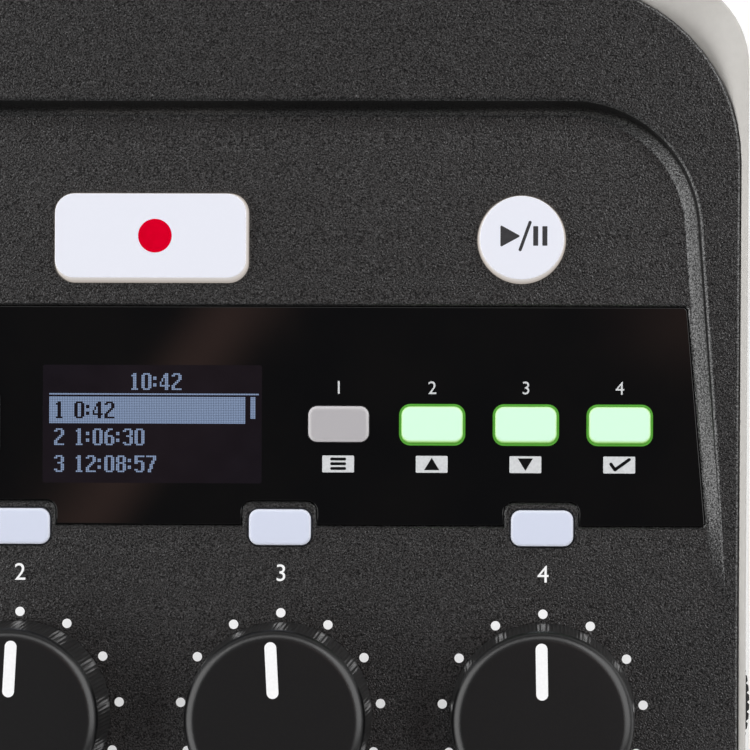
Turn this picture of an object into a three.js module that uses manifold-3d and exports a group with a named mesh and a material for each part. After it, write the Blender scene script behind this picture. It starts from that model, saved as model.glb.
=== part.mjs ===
// A four-channel podcast recorder: a light grey case, a dark top cover with a sunk tray, a gloss strip with a
// display, lit keys, four gain knobs, and sockets on the front, rear and sides.
// Millimetres, +Z up, +X right, +Y to the rear. The origin is under the middle of the recorder, on the table.
import * as THREE from "three";
import { mergeVertices } from "three/addons/utils/BufferGeometryUtils.js";
import Module from "manifold-3d";

const wasm = await Module();
wasm.setup();

// Clearances and cuts
const fit = 0.3;
const cutOver = 1;
const mergeTolerance = 0.001;

// Whole body
const bodyWidth = 159;
const bodyDepth = 121;
const rearCornerRadius = 12;
const frontCornerRadius = 14;
const footLift = 1.5;
const panelHeight = 33.5;
const panelTiltDegrees = 3;
const rimRiseDegrees = 4;

// Light grey case
const caseWall = 2.4;
const caseFloor = 2.4;
const caseLip = 0.9;
const ledgeWidth = 2.5;
const ledgeThickness = 2;

// Channels, left to right; the outer ones stand this far from the sides
const channelInset = 27;
const channelCount = 4;

// Top cover. Places on it are in the panel's frame: u right, v rearward from the knob row, w out of the panel.
const coverThickness = 2.4;
const coverRearRadius = 23.5;
const coverFrontRadius = 13;
const knobRowInset = 23.2;
const rimStart = 14.5;
const trayRear = 82;
const traySideInset = 1;
const trayTaperShare = 0.0744;
const trayCornerRadius = 14.7;
const trayWallRun = 2.2;
const trayWallShell = 1.4;
const trayRunShares = [0, 0.35, 0.6, 0.8, 1.1];

// Gloss strip
const windowThickness = 1.2;
const windowSink = 0.15;
const windowFront = 25.2;
const windowRear = 54.4;
const windowFrontInset = 5.5;
const windowRearInset = 7.9;
const windowCorner = 0.4;
const notchWidth = 10.6;
const notchDepth = 3.2;
const notchRadius = 1.3;

// Display
const displayRow = 38.9;
const displayViewWidth = 30.4;
const displayViewHeight = 15.8;
const displayGlassWidth = 34;
const displayGlassHeight = 19;
const displayGlassThickness = 1.5;
const displayBoardThickness = 1.2;
const displayBoardMargin = 0.4;

// Keys and buttons
const flangeReach = 0.7;
const flangeThickness = 0.8;
const keyStemSize = 3.2;
const keyTravel = 0.6;
const buttonTravel = 0.8;
const recordRow = 63.8;
const recordWidth = 25.5;
const recordHeight = 11.4;
const recordRadius = 2.6;
const buttonProud = 1.8;
const roundButtonDiameter = 11.4;
const roundButtonInset = 29.9;
const functionKeyRow = 38.7;
const functionKeyFirst = 25.15;
const functionKeyInset = 16.85;
const functionKeyCount = 4;
const functionKeyWidthShare = 0.656;
const functionKeyHeight = 4.9;
const functionKeyRadius = 1.2;
const functionKeyProud = 0.5;
const padSizeShare = 0.752;
const padRadius = 1.4;
const padProud = 0.7;
const muteRow = 24.9;
const muteWidth = 8.3;
const muteHeight = 4.8;
const muteRadius = 1.1;
const muteProud = 0.5;

// Gain knobs and their pots
const knobDiameter = 24.6;
const knobTopDiameter = 23.7;
const knobHeight = 13.2;
const knobGap = 0.6;
const knobChamfer = 0.9;
const knobWall = 1.6;
const knobHubDiameter = 8.4;
const knobRoof = 2;
const knobStemDiameter = 6;
const knobMarkWidth = 1.55;
const knobMarkLength = 7.5;
const knobMarkInset = 1.2;
const knobMarkDepth = 0.4;
const knobRestDegrees = [0, -3, 3, 1];
const potWidth = 9.5;
const potLength = 11;
const potHeight = 6.2;
const potBushDiameter = 9;
const stemEngagement = 4;

// Panel board
const boardThickness = 1.6;
const panelBoardDepth = 11;
const panelBoardFront = -8;
const panelBoardRear = 70;
const panelBoardInset = 5.5;
const boardRadius = 2;
const switchSize = 4.4;
const switchHeight = 2;

// Main board and its standoffs
const mainBoardLift = 6;
const mainBoardMargin = 0.8;
const standoffDiameter = 5;

// Battery bay, cells, contacts and door
const cellDiameter = 14.2;
const cellLength = 49.5;
const cellNubDiameter = 5.5;
const cellNubLength = 1;
const contactThickness = 0.6;
const contactHeight = 11;
const contactCone = 3;
const contactConeBase = 4.2;
const contactConeTip = 2.2;
const bayRow = 31.5;
const bayWall = 1.6;
const doorThickness = 1.6;
const doorMargin = 1.6;
const doorCorner = 2;
const doorNotchWidth = 12;
const doorNotchDepth = 2;

// Feet
const footLength = 104;
const footWidth = 8;
const footRecess = 1;
const footInset = 9;

// Screws and their posts
const screwInset = 9.5;
const frontScrewInset = 10;
const rearScrewInset = 23;
const postDiameter = 7.6;
const postTop = 15;
const screwDiameter = 2.6;
const screwHeadDiameter = 5;
const screwHeadHeight = 1.8;
const screwSeat = 2.4;
const screwBite = 8;
const bossDiameter = 6.4;

// Front wall: headphone jacks and volume knobs
const frontAxisHeight = 15;
const frontSpread = 7.2;
const jackNoseDiameter = 6;
const jackBore = 3.7;
const jackBoreDepth = 12;
const jackWidth = 8.4;
const jackDepth = 12;
const jackShoulder = 3.4;
const volumeKnobDiameter = 11;
const volumeKnobLength = 8.8;
const volumeKnobGap = 0.7;
const volumeKnobChamfer = 0.7;
const volumeStemDiameter = 4;
const volumePotWidth = 9.4;
const volumePotDepth = 6.5;
const volumePotShoulder = 4.6;

// Rear wall: microphone sockets
const micHeight = 22.5;
const micCollarDiameter = 25.4;
const micCollarThickness = 1;
const micBodyDiameter = 22.4;
const micBodyDepth = 21;
const micGrooveOuter = 19.4;
const micGrooveInner = 15.8;
const micGrooveDepth = 13;
const micCoreSink = 1;

// Side walls: power slider, phone socket, data port and card slot
const sliderRow = 1.6;
const sliderHeight = 15;
const sliderLength = 16;
const sliderTall = 5;
const sliderHump = 2;
const sliderPocket = 0.7;
const sliderTravel = 4;
const sliderNeckLength = 6;
const sliderNeckTall = 2.4;
const sliderTabThickness = 1.2;
const sliderTabMargin = 1.2;
const switchBodyDepth = 5;
const phoneRow = 52;
const phoneHeight = 13;
const usbRow = 12;
const usbWidth = 9;
const usbTall = 3.3;
const usbDepth = 7.4;
const usbSkin = 0.35;
const usbTongue = 0.7;
const cardRow = 34;
const cardWidth = 14;
const cardTall = 1.9;
const cardDepth = 15;
const cardMouthWidth = 11.4;
const cardMouthTall = 0.9;
const cardMouthDepth = 13;

// Facets: an arc of a shape gets two sides for each of its curve segments
const roundSegments = 24;
const smallSegments = 10;
const cornerSegments = 1;
const bigCornerSegments = 3;
const traySteps = 8;

// Worked-out places
const radians = Math.PI / 180;
const tallerThanAll = panelHeight + bodyDepth;
const tilt = panelTiltDegrees * radians;
const rise = rimRiseDegrees * radians;
const volumeReach = volumeKnobGap + volumeKnobLength;
const micProud = fit + micCollarThickness;
const frontY = (volumeReach - micProud - bodyDepth) / 2;
const rearY = frontY + bodyDepth;
const knobRowY = frontY + knobRowInset;
const sideX = bodyWidth / 2;
const coverInset = caseLip + fit;
const floorTop = footLift + caseFloor;
const mainBoardTop = mainBoardLift + boardThickness;
const screwX = sideX - screwInset;
const channelPitch = (bodyWidth - 2 * channelInset) / (channelCount - 1);
const channels = Array.from({ length: channelCount }, (_, i) => (i - (channelCount - 1) / 2) * channelPitch);
const keyNumbers = Array.from({ length: functionKeyCount }, (_, i) => i);
const functionKeyPitch = (sideX - functionKeyInset - functionKeyFirst) / (functionKeyCount - 1);
const functionKeyWidth = functionKeyPitch * functionKeyWidthShare;
const padSize = functionKeyPitch * padSizeShare;
const keyColumns = keyNumbers.map((i) => functionKeyFirst + i * functionKeyPitch);
const roundButtonReach = sideX - roundButtonInset;
const panelBoardWidth = bodyWidth - 2 * panelBoardInset;
const trayHalfWidthAtKnobs = sideX - traySideInset;
const windowFrontHalfWidth = sideX - windowFrontInset;
const windowRearHalfWidth = sideX - windowRearInset;
const windowFloor = windowSink + windowThickness + fit;
const panelFrame = new THREE.Matrix4()
  .makeTranslation(0, knobRowY, panelHeight)
  .multiply(new THREE.Matrix4().makeRotationX(tilt));

// Materials
const plastic = (color, roughness) => new THREE.MeshStandardMaterial({ color, roughness, metalness: 0 });
const darkGrain = plastic(0x373636, 0.62);
const lightCase = plastic(0xc9c6c1, 0.5);
const glossBlack = plastic(0x101011, 0.08);
const whiteKey = plastic(0xe9eaf2, 0.35);
const greyKey = plastic(0xb5b1b6, 0.4);
const greenKey = plastic(0xd2ffdc, 0.35);
const knobBlack = plastic(0x29292b, 0.38);
const rubber = plastic(0x1c1c1c, 0.9);
const boardGreen = plastic(0x1f4a33, 0.55);
const partBlack = plastic(0x18181a, 0.45);
const cellJacket = plastic(0x6e7680, 0.35);
const steel = new THREE.MeshStandardMaterial({ color: 0xb9bcc0, roughness: 0.3, metalness: 0.9 });

// A closed geometry as a solid that can be joined and cut.
function solid(geometry) {
  const plain = geometry.index ? geometry.toNonIndexed() : geometry;
  const bare = new THREE.BufferGeometry().setAttribute("position", plain.getAttribute("position"));
  const merged = mergeVertices(bare, mergeTolerance);
  const vertProperties = merged.attributes.position.array;
  const triVerts = new Uint32Array(merged.index.array);
  return new wasm.Manifold(new wasm.Mesh({ numProp: 3, vertProperties, triVerts }));
}

// A solid as a named mesh.
function piece(name, body, material) {
  const { vertProperties, triVerts } = body.getMesh();
  const geometry = new THREE.BufferGeometry()
    .setAttribute("position", new THREE.BufferAttribute(vertProperties, 3))
    .setIndex(new THREE.BufferAttribute(triVerts, 1));
  const mesh = new THREE.Mesh(geometry, material);
  mesh.name = name;
  return mesh;
}

const joined = (bodies) => bodies.reduce((all, one) => all.add(one));
const without = (body, cuts) => body.subtract(joined(cuts));

// A rectangle with round corners about (x, y).
function roundedRect(width, height, radius, x = 0, y = 0) {
  const shape = new THREE.Shape();
  const dx = width / 2 - radius;
  const dy = height / 2 - radius;
  shape.absarc(x + dx, y - dy, radius, -Math.PI / 2, 0);
  shape.absarc(x + dx, y + dy, radius, 0, Math.PI / 2);
  shape.absarc(x - dx, y + dy, radius, Math.PI / 2, Math.PI);
  shape.absarc(x - dx, y - dy, radius, Math.PI, 1.5 * Math.PI);
  return shape;
}

function polygon(points) {
  return new THREE.Shape(points.map(([x, y]) => new THREE.Vector2(x, y)));
}

// Prisms along +Z and +X. The shape's own axes are (x, y) and (y, z).
function prismZ(shape, low, high, curveSegments = cornerSegments) {
  const depth = high - low;
  return new THREE.ExtrudeGeometry(shape, { depth, curveSegments, bevelEnabled: false }).translate(0, 0, low);
}

function prismX(shape, low, high, curveSegments = cornerSegments) {
  const axes = new THREE.Matrix4().makeBasis(
    new THREE.Vector3(0, 1, 0),
    new THREE.Vector3(0, 0, 1),
    new THREE.Vector3(1, 0, 0),
  );
  return prismZ(shape, low, high, curveSegments).applyMatrix4(axes);
}

// A box given by its low and high corners.
function block(x0, x1, y0, y1, z0, z1) {
  const box = new THREE.BoxGeometry(x1 - x0, y1 - y0, z1 - z0);
  return box.translate((x0 + x1) / 2, (y0 + y1) / 2, (z0 + z1) / 2);
}

// Cylinders along +Z and +Y.
function rodZ(diameter, low, high, x = 0, y = 0, segments = smallSegments) {
  const rod = new THREE.CylinderGeometry(diameter / 2, diameter / 2, high - low, segments);
  return rod.rotateX(Math.PI / 2).translate(x, y, (low + high) / 2);
}

function rodY(diameter, low, high, x, z, segments = smallSegments) {
  const rod = new THREE.CylinderGeometry(diameter / 2, diameter / 2, high - low, segments);
  return rod.translate(x, (low + high) / 2, z);
}

function rodX(diameter, low, high, y, z, segments = smallSegments) {
  const rod = new THREE.CylinderGeometry(diameter / 2, diameter / 2, high - low, segments);
  return rod.rotateZ(Math.PI / 2).translate((low + high) / 2, y, z);
}

// A turned body about +Z from [radius, height] points that run up the outside.
function turned(profile, segments) {
  const points = profile.map(([r, h]) => new THREE.Vector2(r, h));
  return new THREE.LatheGeometry(points, segments).rotateX(Math.PI / 2);
}

const onPanel = (geometry) => geometry.applyMatrix4(panelFrame);

// The case's plan, and the cover's, moved in from the case's outside by inset.
function planOutline(inset, rearRadius, frontRadius) {
  const shape = new THREE.Shape();
  const x = sideX - inset;
  const front = frontY + inset;
  const rear = rearY - inset;
  shape.absarc(x - frontRadius, front + frontRadius, frontRadius, -Math.PI / 2, 0);
  shape.absarc(x - rearRadius, rear - rearRadius, rearRadius, 0, Math.PI / 2);
  shape.absarc(-x + rearRadius, rear - rearRadius, rearRadius, Math.PI / 2, Math.PI);
  shape.absarc(-x + frontRadius, front + frontRadius, frontRadius, Math.PI, 1.5 * Math.PI);
  return shape;
}

const casePlan = (inset) => planOutline(inset, rearCornerRadius - inset, frontCornerRadius - inset);
const coverPlan = (grow) => planOutline(coverInset - grow, coverRearRadius + grow, coverFrontRadius + grow);

// Height of the panel's plane, and of the rim's, over a point of the plan.
const panelZ = (y) => panelHeight + (y - knobRowY) * Math.tan(tilt);
const rimStartY = knobRowY + rimStart * Math.cos(tilt);
const rimZ = (y) => panelZ(rimStartY) + (y - rimStartY) * Math.tan(tilt + rise);

// Everything below the top's side profile, lowered by drop.
function underTop(drop) {
  const front = frontY - cutOver;
  const rear = rearY + cutOver;
  const side = polygon([
    [front, -cutOver],
    [rear, -cutOver],
    [rear, rimZ(rear) - drop],
    [rimStartY, panelZ(rimStartY) - drop],
    [front, panelZ(front) - drop],
  ]);
  return solid(prismX(side, -sideX - cutOver, sideX + cutOver));
}

// The tray's outline, moved in by inset: slanting sides, round rear corners and a straight front.
function trayRing(inset, frontV) {
  const lean = Math.atan(trayTaperShare);
  const radius = trayCornerRadius - inset;
  const centreV = trayRear - trayCornerRadius;
  const centreU = trayHalfWidthAtKnobs - trayTaperShare * centreV - trayCornerRadius / Math.cos(lean);
  const frontU = trayHalfWidthAtKnobs - trayTaperShare * frontV - inset / Math.cos(lean);
  const arc = Array.from({ length: traySteps + 1 }, (_, i) => {
    const angle = lean + ((Math.PI / 2 - lean) * i) / traySteps;
    return [centreU + radius * Math.cos(angle), centreV + radius * Math.sin(angle)];
  });
  const right = [[frontU, frontV], ...arc];
  return [...right, ...right.map(([u, v]) => [-u, v]).reverse()];
}

// What the tray cuts out of the cover: rings from its flat floor up a hollow step, and on to above the rim.
function trayCut() {
  const rings = trayRunShares.map((share) => {
    const slope = Math.tan(rise) * share * share;
    const ring = trayRing(trayWallRun * (1 - share), rimStart);
    return ring.map(([u, v]) => [u, v, Math.max(0, v - rimStart) * slope]);
  });
  const top = rings.at(-1).map(([u, v]) => [u, v, trayRear * Math.tan(rise) + cutOver]);
  const levels = [...rings, top];
  const count = top.length;
  const index = [];
  for (let level = 0; level + 1 < levels.length; level++)
    for (let i = 0; i < count; i++) {
      const j = (i + 1) % count;
      const [a, b] = [level * count + i, level * count + j];
      index.push(a, b, b + count, a, b + count, a + count);
    }
  const plan = (ring) => ring.map(([u, v]) => new THREE.Vector2(u, v));
  for (const [a, b, c] of THREE.ShapeUtils.triangulateShape(plan(levels[0]), [])) index.push(a, c, b);
  const last = (levels.length - 1) * count;
  for (const face of THREE.ShapeUtils.triangulateShape(plan(top), []))
    index.push(...face.map((i) => last + i));
  const geometry = new THREE.BufferGeometry();
  geometry.setAttribute("position", new THREE.Float32BufferAttribute(levels.flat(2), 3));
  geometry.setIndex(index);
  return geometry;
}

// The gloss strip's outline: a trapezium with a notch round each mute key.
function windowOutline(grow) {
  const shape = new THREE.Shape();
  const slope = (windowFrontHalfWidth - windowRearHalfWidth) / (windowRear - windowFront);
  const front = windowFront - grow;
  const rear = windowRear + grow;
  const frontHalf = windowFrontHalfWidth + grow * (1 + slope);
  const rearHalf = windowRearHalfWidth + grow * (1 - slope);
  const halfNotch = notchWidth / 2 - grow;
  const top = windowFront + notchDepth - grow;
  const radius = notchRadius - grow;
  shape.moveTo(-frontHalf, front + windowCorner);
  shape.lineTo(-frontHalf + windowCorner, front);
  for (const u of channels) {
    shape.lineTo(u - halfNotch, front);
    shape.absarc(u - halfNotch + radius, top - radius, radius, Math.PI, Math.PI / 2, true);
    shape.absarc(u + halfNotch - radius, top - radius, radius, Math.PI / 2, 0, true);
    shape.lineTo(u + halfNotch, front);
  }
  shape.lineTo(frontHalf - windowCorner, front);
  shape.lineTo(frontHalf, front + windowCorner);
  shape.lineTo(rearHalf, rear - windowCorner);
  shape.lineTo(rearHalf - windowCorner, rear);
  shape.lineTo(-rearHalf + windowCorner, rear);
  shape.lineTo(-rearHalf, rear - windowCorner);
  return shape;
}

// Every pressed key: its place and outline on the panel, how proud it is, and how far it travels.
const flatKey = (name, u, v, width, height, radius, proud, travel, material) => ({
  name,
  u,
  v,
  proud,
  travel,
  material,
  plan: (grow) => roundedRect(width + 2 * grow, height + 2 * grow, radius + grow, u, v),
  segments: cornerSegments,
});
const roundKey = (name, u, material) => ({
  name,
  u,
  v: recordRow,
  proud: buttonProud,
  travel: buttonTravel,
  material,
  plan: (grow) => new THREE.Shape().absarc(u, recordRow, roundButtonDiameter / 2 + grow, 0, 2 * Math.PI),
  segments: roundSegments / 2,
});
const functionKeyLooks = [
  ["menu_key", greyKey],
  ["tone_key", greenKey],
  ["compressor_key", greenKey],
  ["noise_key", greenKey],
];
const keys = [
  flatKey(
    "record_button", 0, recordRow, recordWidth, recordHeight, recordRadius,
    buttonProud, buttonTravel, whiteKey,
  ),
  roundKey("stop_button", -roundButtonReach, whiteKey),
  roundKey("play_button", roundButtonReach, whiteKey),
  ...functionKeyLooks.map(([name, look], i) =>
    flatKey(
      name, keyColumns[i], functionKeyRow, functionKeyWidth, functionKeyHeight, functionKeyRadius,
      functionKeyProud, keyTravel, look,
    ),
  ),
  ...keyColumns.map((u, i) =>
    flatKey(
      `sound_pad_${functionKeyCount - i}`, -u, functionKeyRow, padSize, padSize, padRadius,
      padProud, keyTravel, whiteKey,
    ),
  ),
  ...channels.map((u, i) =>
    flatKey(
      `mute_button_${i + 1}`, u, muteRow, muteWidth, muteHeight, muteRadius,
      muteProud, keyTravel, whiteKey,
    ),
  ),
];

// A key: a cap through the cover, a flange that stops it under the cover, and a stem over its switch.
function pressedKey({ plan, proud, travel, u, v, segments }) {
  const flangeTop = -coverThickness - fit;
  const flangeFoot = flangeTop - flangeThickness;
  const stemFoot = -panelBoardDepth + switchHeight + travel + fit;
  const half = keyStemSize / 2;
  return joined([
    solid(prismZ(plan(0), flangeFoot, proud, segments)),
    solid(prismZ(plan(flangeReach), flangeFoot, flangeTop, segments)),
    solid(block(u - half, u + half, v - half, v + half, stemFoot, flangeTop)),
  ]);
}

// Screws stand at the four corners, through a post of the case into a boss of the cover.
const screwPlaces = [
  [-screwX, frontY + frontScrewInset],
  [screwX, frontY + frontScrewInset],
  [-screwX, rearY - rearScrewInset],
  [screwX, rearY - rearScrewInset],
];
const headTop = footLift + screwSeat;
const screwTip = postTop + screwBite;

// Battery bay, in the row's own axes
const bayY = knobRowY + bayRow;
const endSpace = fit + contactThickness + contactCone + fit;
const bayLength = cellLength + cellNubLength + 2 * endSpace;
const bayWidth = 2 * cellDiameter + 3 * fit;
const doorLength = bayLength + 2 * doorMargin;
const doorWidth = bayWidth + 2 * doorMargin;
const bayFloor = footLift + doorThickness + fit;
const bayTop = bayFloor + cellDiameter + 2 * fit;
const bayBlockLength = doorLength + 2 * (fit + bayWall);
const bayBlockWidth = doorWidth + 2 * (fit + bayWall);
const cellRows = [bayY - (cellDiameter + fit) / 2, bayY + (cellDiameter + fit) / 2];
const cellZ = bayFloor + fit + cellDiameter / 2;

// Fronts of the jacks and volume knobs, one pair to a channel
const volumeColumns = channels.map((x) => x - frontSpread);
const jackColumns = channels.map((x) => x + frontSpread);
const sliderY = knobRowY + sliderRow;
const phoneY = knobRowY + phoneRow;
const usbY = knobRowY + usbRow;
const cardY = knobRowY + cardRow;
const usbZ = mainBoardTop + fit + usbTall / 2;
const cardZ = mainBoardTop + fit + cardTall / 2;
const footY = [frontY + footInset + footWidth / 2, rearY - footInset - footWidth / 2];
const footShape = (grow, y) =>
  roundedRect(footLength + 2 * grow, footWidth + 2 * grow, footWidth / 2 + grow, 0, y);

function baseShell() {
  const innerWall = sideX - caseWall;
  const roofDrop = coverThickness + fit + ledgeThickness;
  const wholeCase = solid(prismZ(casePlan(0), footLift, tallerThanAll, bigCornerSegments));
  const outside = wholeCase.intersect(underTop(0));
  const cavity = solid(prismZ(casePlan(caseWall), floorTop, tallerThanAll, bigCornerSegments)).intersect(
    underTop(roofDrop),
  );
  const rebate = solid(prismZ(coverPlan(fit), floorTop, tallerThanAll, bigCornerSegments)).subtract(
    underTop(coverThickness + fit),
  );
  const opening = solid(prismZ(coverPlan(-ledgeWidth), floorTop, tallerThanAll, bigCornerSegments));
  const posts = screwPlaces.map(([x, y]) => solid(rodZ(postDiameter, floorTop - fit, postTop, x, y)));
  const standoffs = [-1, 1].flatMap((side) =>
    [frontY + knobRowInset, bayY + bayBlockWidth / 2 + standoffDiameter].map((y) =>
      solid(rodZ(standoffDiameter, floorTop - fit, mainBoardLift - fit, (side * bayBlockLength) / 2, y)),
    ),
  );
  const bayPlan = roundedRect(bayBlockLength, bayBlockWidth, doorCorner + bayWall, 0, bayY);
  const bayBlock = solid(prismZ(bayPlan, footLift, bayTop + bayWall));
  const [rearLow, rearHigh] = [rearY - caseWall - cutOver, rearY + cutOver];
  const [frontLow, frontHigh] = [frontY - cutOver, frontY + caseWall + cutOver];
  const cuts = [
    solid(prismZ(doorPlan(fit), 0, bayFloor)),
    solid(block(-bayLength / 2, bayLength / 2, bayY - bayWidth / 2, bayY + bayWidth / 2, 0, bayTop)),
    ...footY.map((y) => solid(prismZ(footShape(fit, y), 0, footLift + footRecess, bigCornerSegments))),
    ...screwPlaces.map(([x, y]) => solid(rodZ(screwDiameter + 2 * fit, 0, tallerThanAll, x, y))),
    ...screwPlaces.map(([x, y]) => solid(rodZ(screwHeadDiameter + 2 * fit, 0, headTop, x, y))),
    ...channels.map((x) =>
      solid(rodY(micBodyDiameter + 2 * fit, rearLow, rearHigh, x, micHeight, roundSegments)),
    ),
    ...volumeColumns.map((x) =>
      solid(rodY(volumeStemDiameter + 2 * fit, frontLow, frontHigh, x, frontAxisHeight)),
    ),
    ...jackColumns.map((x) =>
      solid(rodY(jackNoseDiameter + 2 * fit, frontLow, frontHigh, x, frontAxisHeight)),
    ),
    solid(rodX(jackNoseDiameter + 2 * fit, innerWall - cutOver, sideX + cutOver, phoneY, phoneHeight)),
    solid(
      prismX(
        roundedRect(usbWidth + 2 * fit, usbTall + 2 * fit, usbTall / 2, usbY, usbZ),
        -sideX - cutOver,
        -innerWall + cutOver,
      ),
    ),
    solid(
      prismX(
        roundedRect(cardMouthWidth + 2 * fit, cardMouthTall + 2 * fit, fit, cardY, cardZ),
        -sideX - cutOver,
        -innerWall + cutOver,
      ),
    ),
    sliderSlot(innerWall),
  ];
  return without(
    joined([outside.subtract(cavity).subtract(rebate).subtract(opening), bayBlock, ...posts, ...standoffs]),
    cuts,
  );
}

// The shallow pocket and the slot of the power slider, long enough for its travel to the front.
function sliderSlot(innerWall) {
  const middle = sliderY - sliderTravel / 2;
  const pocketLength = sliderLength + sliderTravel + 2 * fit;
  const pocketTall = sliderTall + 2 * fit;
  const slotLength = sliderNeckLength + sliderTravel + 2 * fit;
  const slotTall = sliderNeckTall + 2 * fit;
  return joined([
    solid(
      prismX(
        roundedRect(pocketLength, pocketTall, fit, middle, sliderHeight),
        sideX - sliderPocket,
        sideX + cutOver,
      ),
    ),
    solid(
      prismX(
        roundedRect(slotLength, slotTall, fit, middle, sliderHeight),
        innerWall - cutOver,
        sideX + cutOver,
      ),
    ),
  ]);
}

function topCover() {
  const slab = solid(prismZ(coverPlan(0), floorTop, tallerThanAll, bigCornerSegments))
    .intersect(underTop(0))
    .subtract(underTop(coverThickness));
  const trayPlan = polygon(trayRing(-trayWallShell, panelBoardFront));
  const below = -coverThickness - cutOver;
  const tray = solid(onPanel(prismZ(trayPlan, -coverThickness, panelHeight))).intersect(underTop(0));
  const clipped = tray.intersect(solid(prismZ(coverPlan(-ledgeWidth - fit), floorTop, tallerThanAll)));
  const bosses = screwPlaces.map(([x, y]) =>
    solid(rodZ(bossDiameter, postTop + fit, tallerThanAll, x, y)).intersect(underTop(coverThickness / 2)),
  );
  const cuts = [
    solid(onPanel(trayCut())),
    solid(onPanel(prismZ(windowOutline(fit), -windowFloor, cutOver))),
    solid(
      onPanel(
        block(
          -displayViewWidth / 2, displayViewWidth / 2,
          displayRow - displayViewHeight / 2, displayRow + displayViewHeight / 2,
          below, 0,
        ),
      ),
    ),
    ...keys.map((key) => solid(onPanel(prismZ(key.plan(fit), below, cutOver, key.segments)))),
    ...channels.map((u) => solid(onPanel(rodZ(knobStemDiameter + 2 * fit, below, cutOver, u)))),
    ...screwPlaces.map(([x, y]) => solid(rodZ(screwDiameter + 2 * fit, postTop, screwTip + fit, x, y))),
  ];
  return without(joined([slab, clipped, ...bosses]), cuts);
}

function displayWindow() {
  const sheet = solid(prismZ(windowOutline(0), -windowSink - windowThickness, -windowSink));
  const holes = keys
    .filter(({ v }) => v > windowFront + notchDepth && v < windowRear)
    .map((key) => solid(prismZ(key.plan(fit), -windowFloor, cutOver)));
  return without(sheet, holes);
}

function oledModule() {
  const top = -coverThickness - fit;
  const glassFoot = top - displayGlassThickness;
  const glass = roundedRect(displayGlassWidth, displayGlassHeight, windowCorner, 0, displayRow);
  const board = roundedRect(
    displayGlassWidth + 2 * displayBoardMargin, displayGlassHeight + 2 * displayBoardMargin, windowCorner, 0,
    displayRow,
  );
  return joined([
    solid(prismZ(glass, glassFoot, top)),
    solid(prismZ(board, glassFoot - displayBoardThickness, glassFoot)),
  ]);
}

// A gain knob: a hollow cap with a chamfered top, a hub, a stem that reaches into its pot, and a pointer slot.
function gainKnob() {
  const top = knobGap + knobHeight;
  const stemFoot = -panelBoardDepth + fit + potHeight - stemEngagement;
  const outer = knobDiameter / 2;
  const crown = knobTopDiameter / 2;
  const body = solid(
    turned(
      [
        [0, stemFoot],
        [knobStemDiameter / 2, stemFoot],
        [knobStemDiameter / 2, knobGap],
        [knobHubDiameter / 2, knobGap],
        [knobHubDiameter / 2, top - knobRoof],
        [crown - knobWall, top - knobRoof],
        [outer - knobWall, knobGap],
        [outer, knobGap],
        [crown, top - knobChamfer],
        [crown - knobChamfer, top],
        [0, top],
      ],
      roundSegments,
    ),
  );
  const markEnd = crown - knobMarkInset;
  const mark = roundedRect(
    knobMarkWidth, knobMarkLength, knobMarkWidth / 2, 0, markEnd - knobMarkLength / 2,
  );
  return body.subtract(solid(prismZ(mark, top - knobMarkDepth, top + cutOver)));
}

// A pot on the panel board: a box with a bush under the cover, bored for the knob's stem.
function gainPot() {
  const foot = -panelBoardDepth + fit;
  const shoulder = foot + potHeight;
  const bushTop = -coverThickness - fit;
  const bore = rodZ(knobStemDiameter + 2 * fit, shoulder - stemEngagement - fit, cutOver);
  return joined([
    solid(block(-potWidth / 2, potWidth / 2, -potLength / 2, potLength / 2, foot, shoulder)),
    solid(rodZ(potBushDiameter, foot, bushTop)),
  ]).subtract(solid(bore));
}

// The board under the panel, with one push switch under each key.
function panelBoard() {
  const top = -panelBoardDepth;
  const middle = (panelBoardFront + panelBoardRear) / 2;
  const length = panelBoardRear - panelBoardFront;
  const half = switchSize / 2;
  return joined([
    solid(prismZ(roundedRect(panelBoardWidth, length, boardRadius, 0, middle), top - boardThickness, top)),
    ...keys.map(({ u, v }) =>
      solid(block(u - half, u + half, v - half, v + half, top - fit, top + switchHeight)),
    ),
  ]);
}

// The board on the case's floor, cut round the battery bay and the posts, with the power switch's body on it.
function mainBoard() {
  const plan = casePlan(caseWall + mainBoardMargin);
  const switchX = sideX - caseWall - sliderTabThickness - 2 * fit;
  return joined([
    solid(prismZ(plan, mainBoardLift, mainBoardTop, bigCornerSegments)),
    solid(
      block(
        switchX - switchBodyDepth, switchX, sliderY - sliderLength / 2, sliderY + sliderLength / 2,
        mainBoardTop - fit, sliderHeight + sliderTall / 2,
      ),
    ),
  ]).subtract(
    joined([
      solid(
        prismZ(
          roundedRect(bayBlockLength + 2 * fit, bayBlockWidth + 2 * fit, doorCorner + bayWall + fit, 0, bayY),
          mainBoardLift - cutOver,
          mainBoardTop + cutOver,
        ),
      ),
      ...screwPlaces.map(([x, y]) =>
        solid(rodZ(postDiameter + 2 * fit, mainBoardLift - cutOver, mainBoardTop + cutOver, x, y)),
      ),
    ]),
  );
}

// A headphone-size socket with its mouth at the origin, facing -Y: a nose through the wall, and a body behind
// it that reaches down to the main board. The mouth is at height.
function jack(height) {
  const half = jackWidth / 2;
  const wall = caseWall + fit;
  const foot = mainBoardTop + fit - height;
  return joined([
    solid(rodY(jackNoseDiameter, 0, wall + fit, 0, 0)),
    solid(block(-half, half, wall, wall + jackDepth, foot, jackShoulder)),
  ]).subtract(solid(rodY(jackBore, -cutOver, jackBoreDepth, 0, 0)));
}

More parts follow.
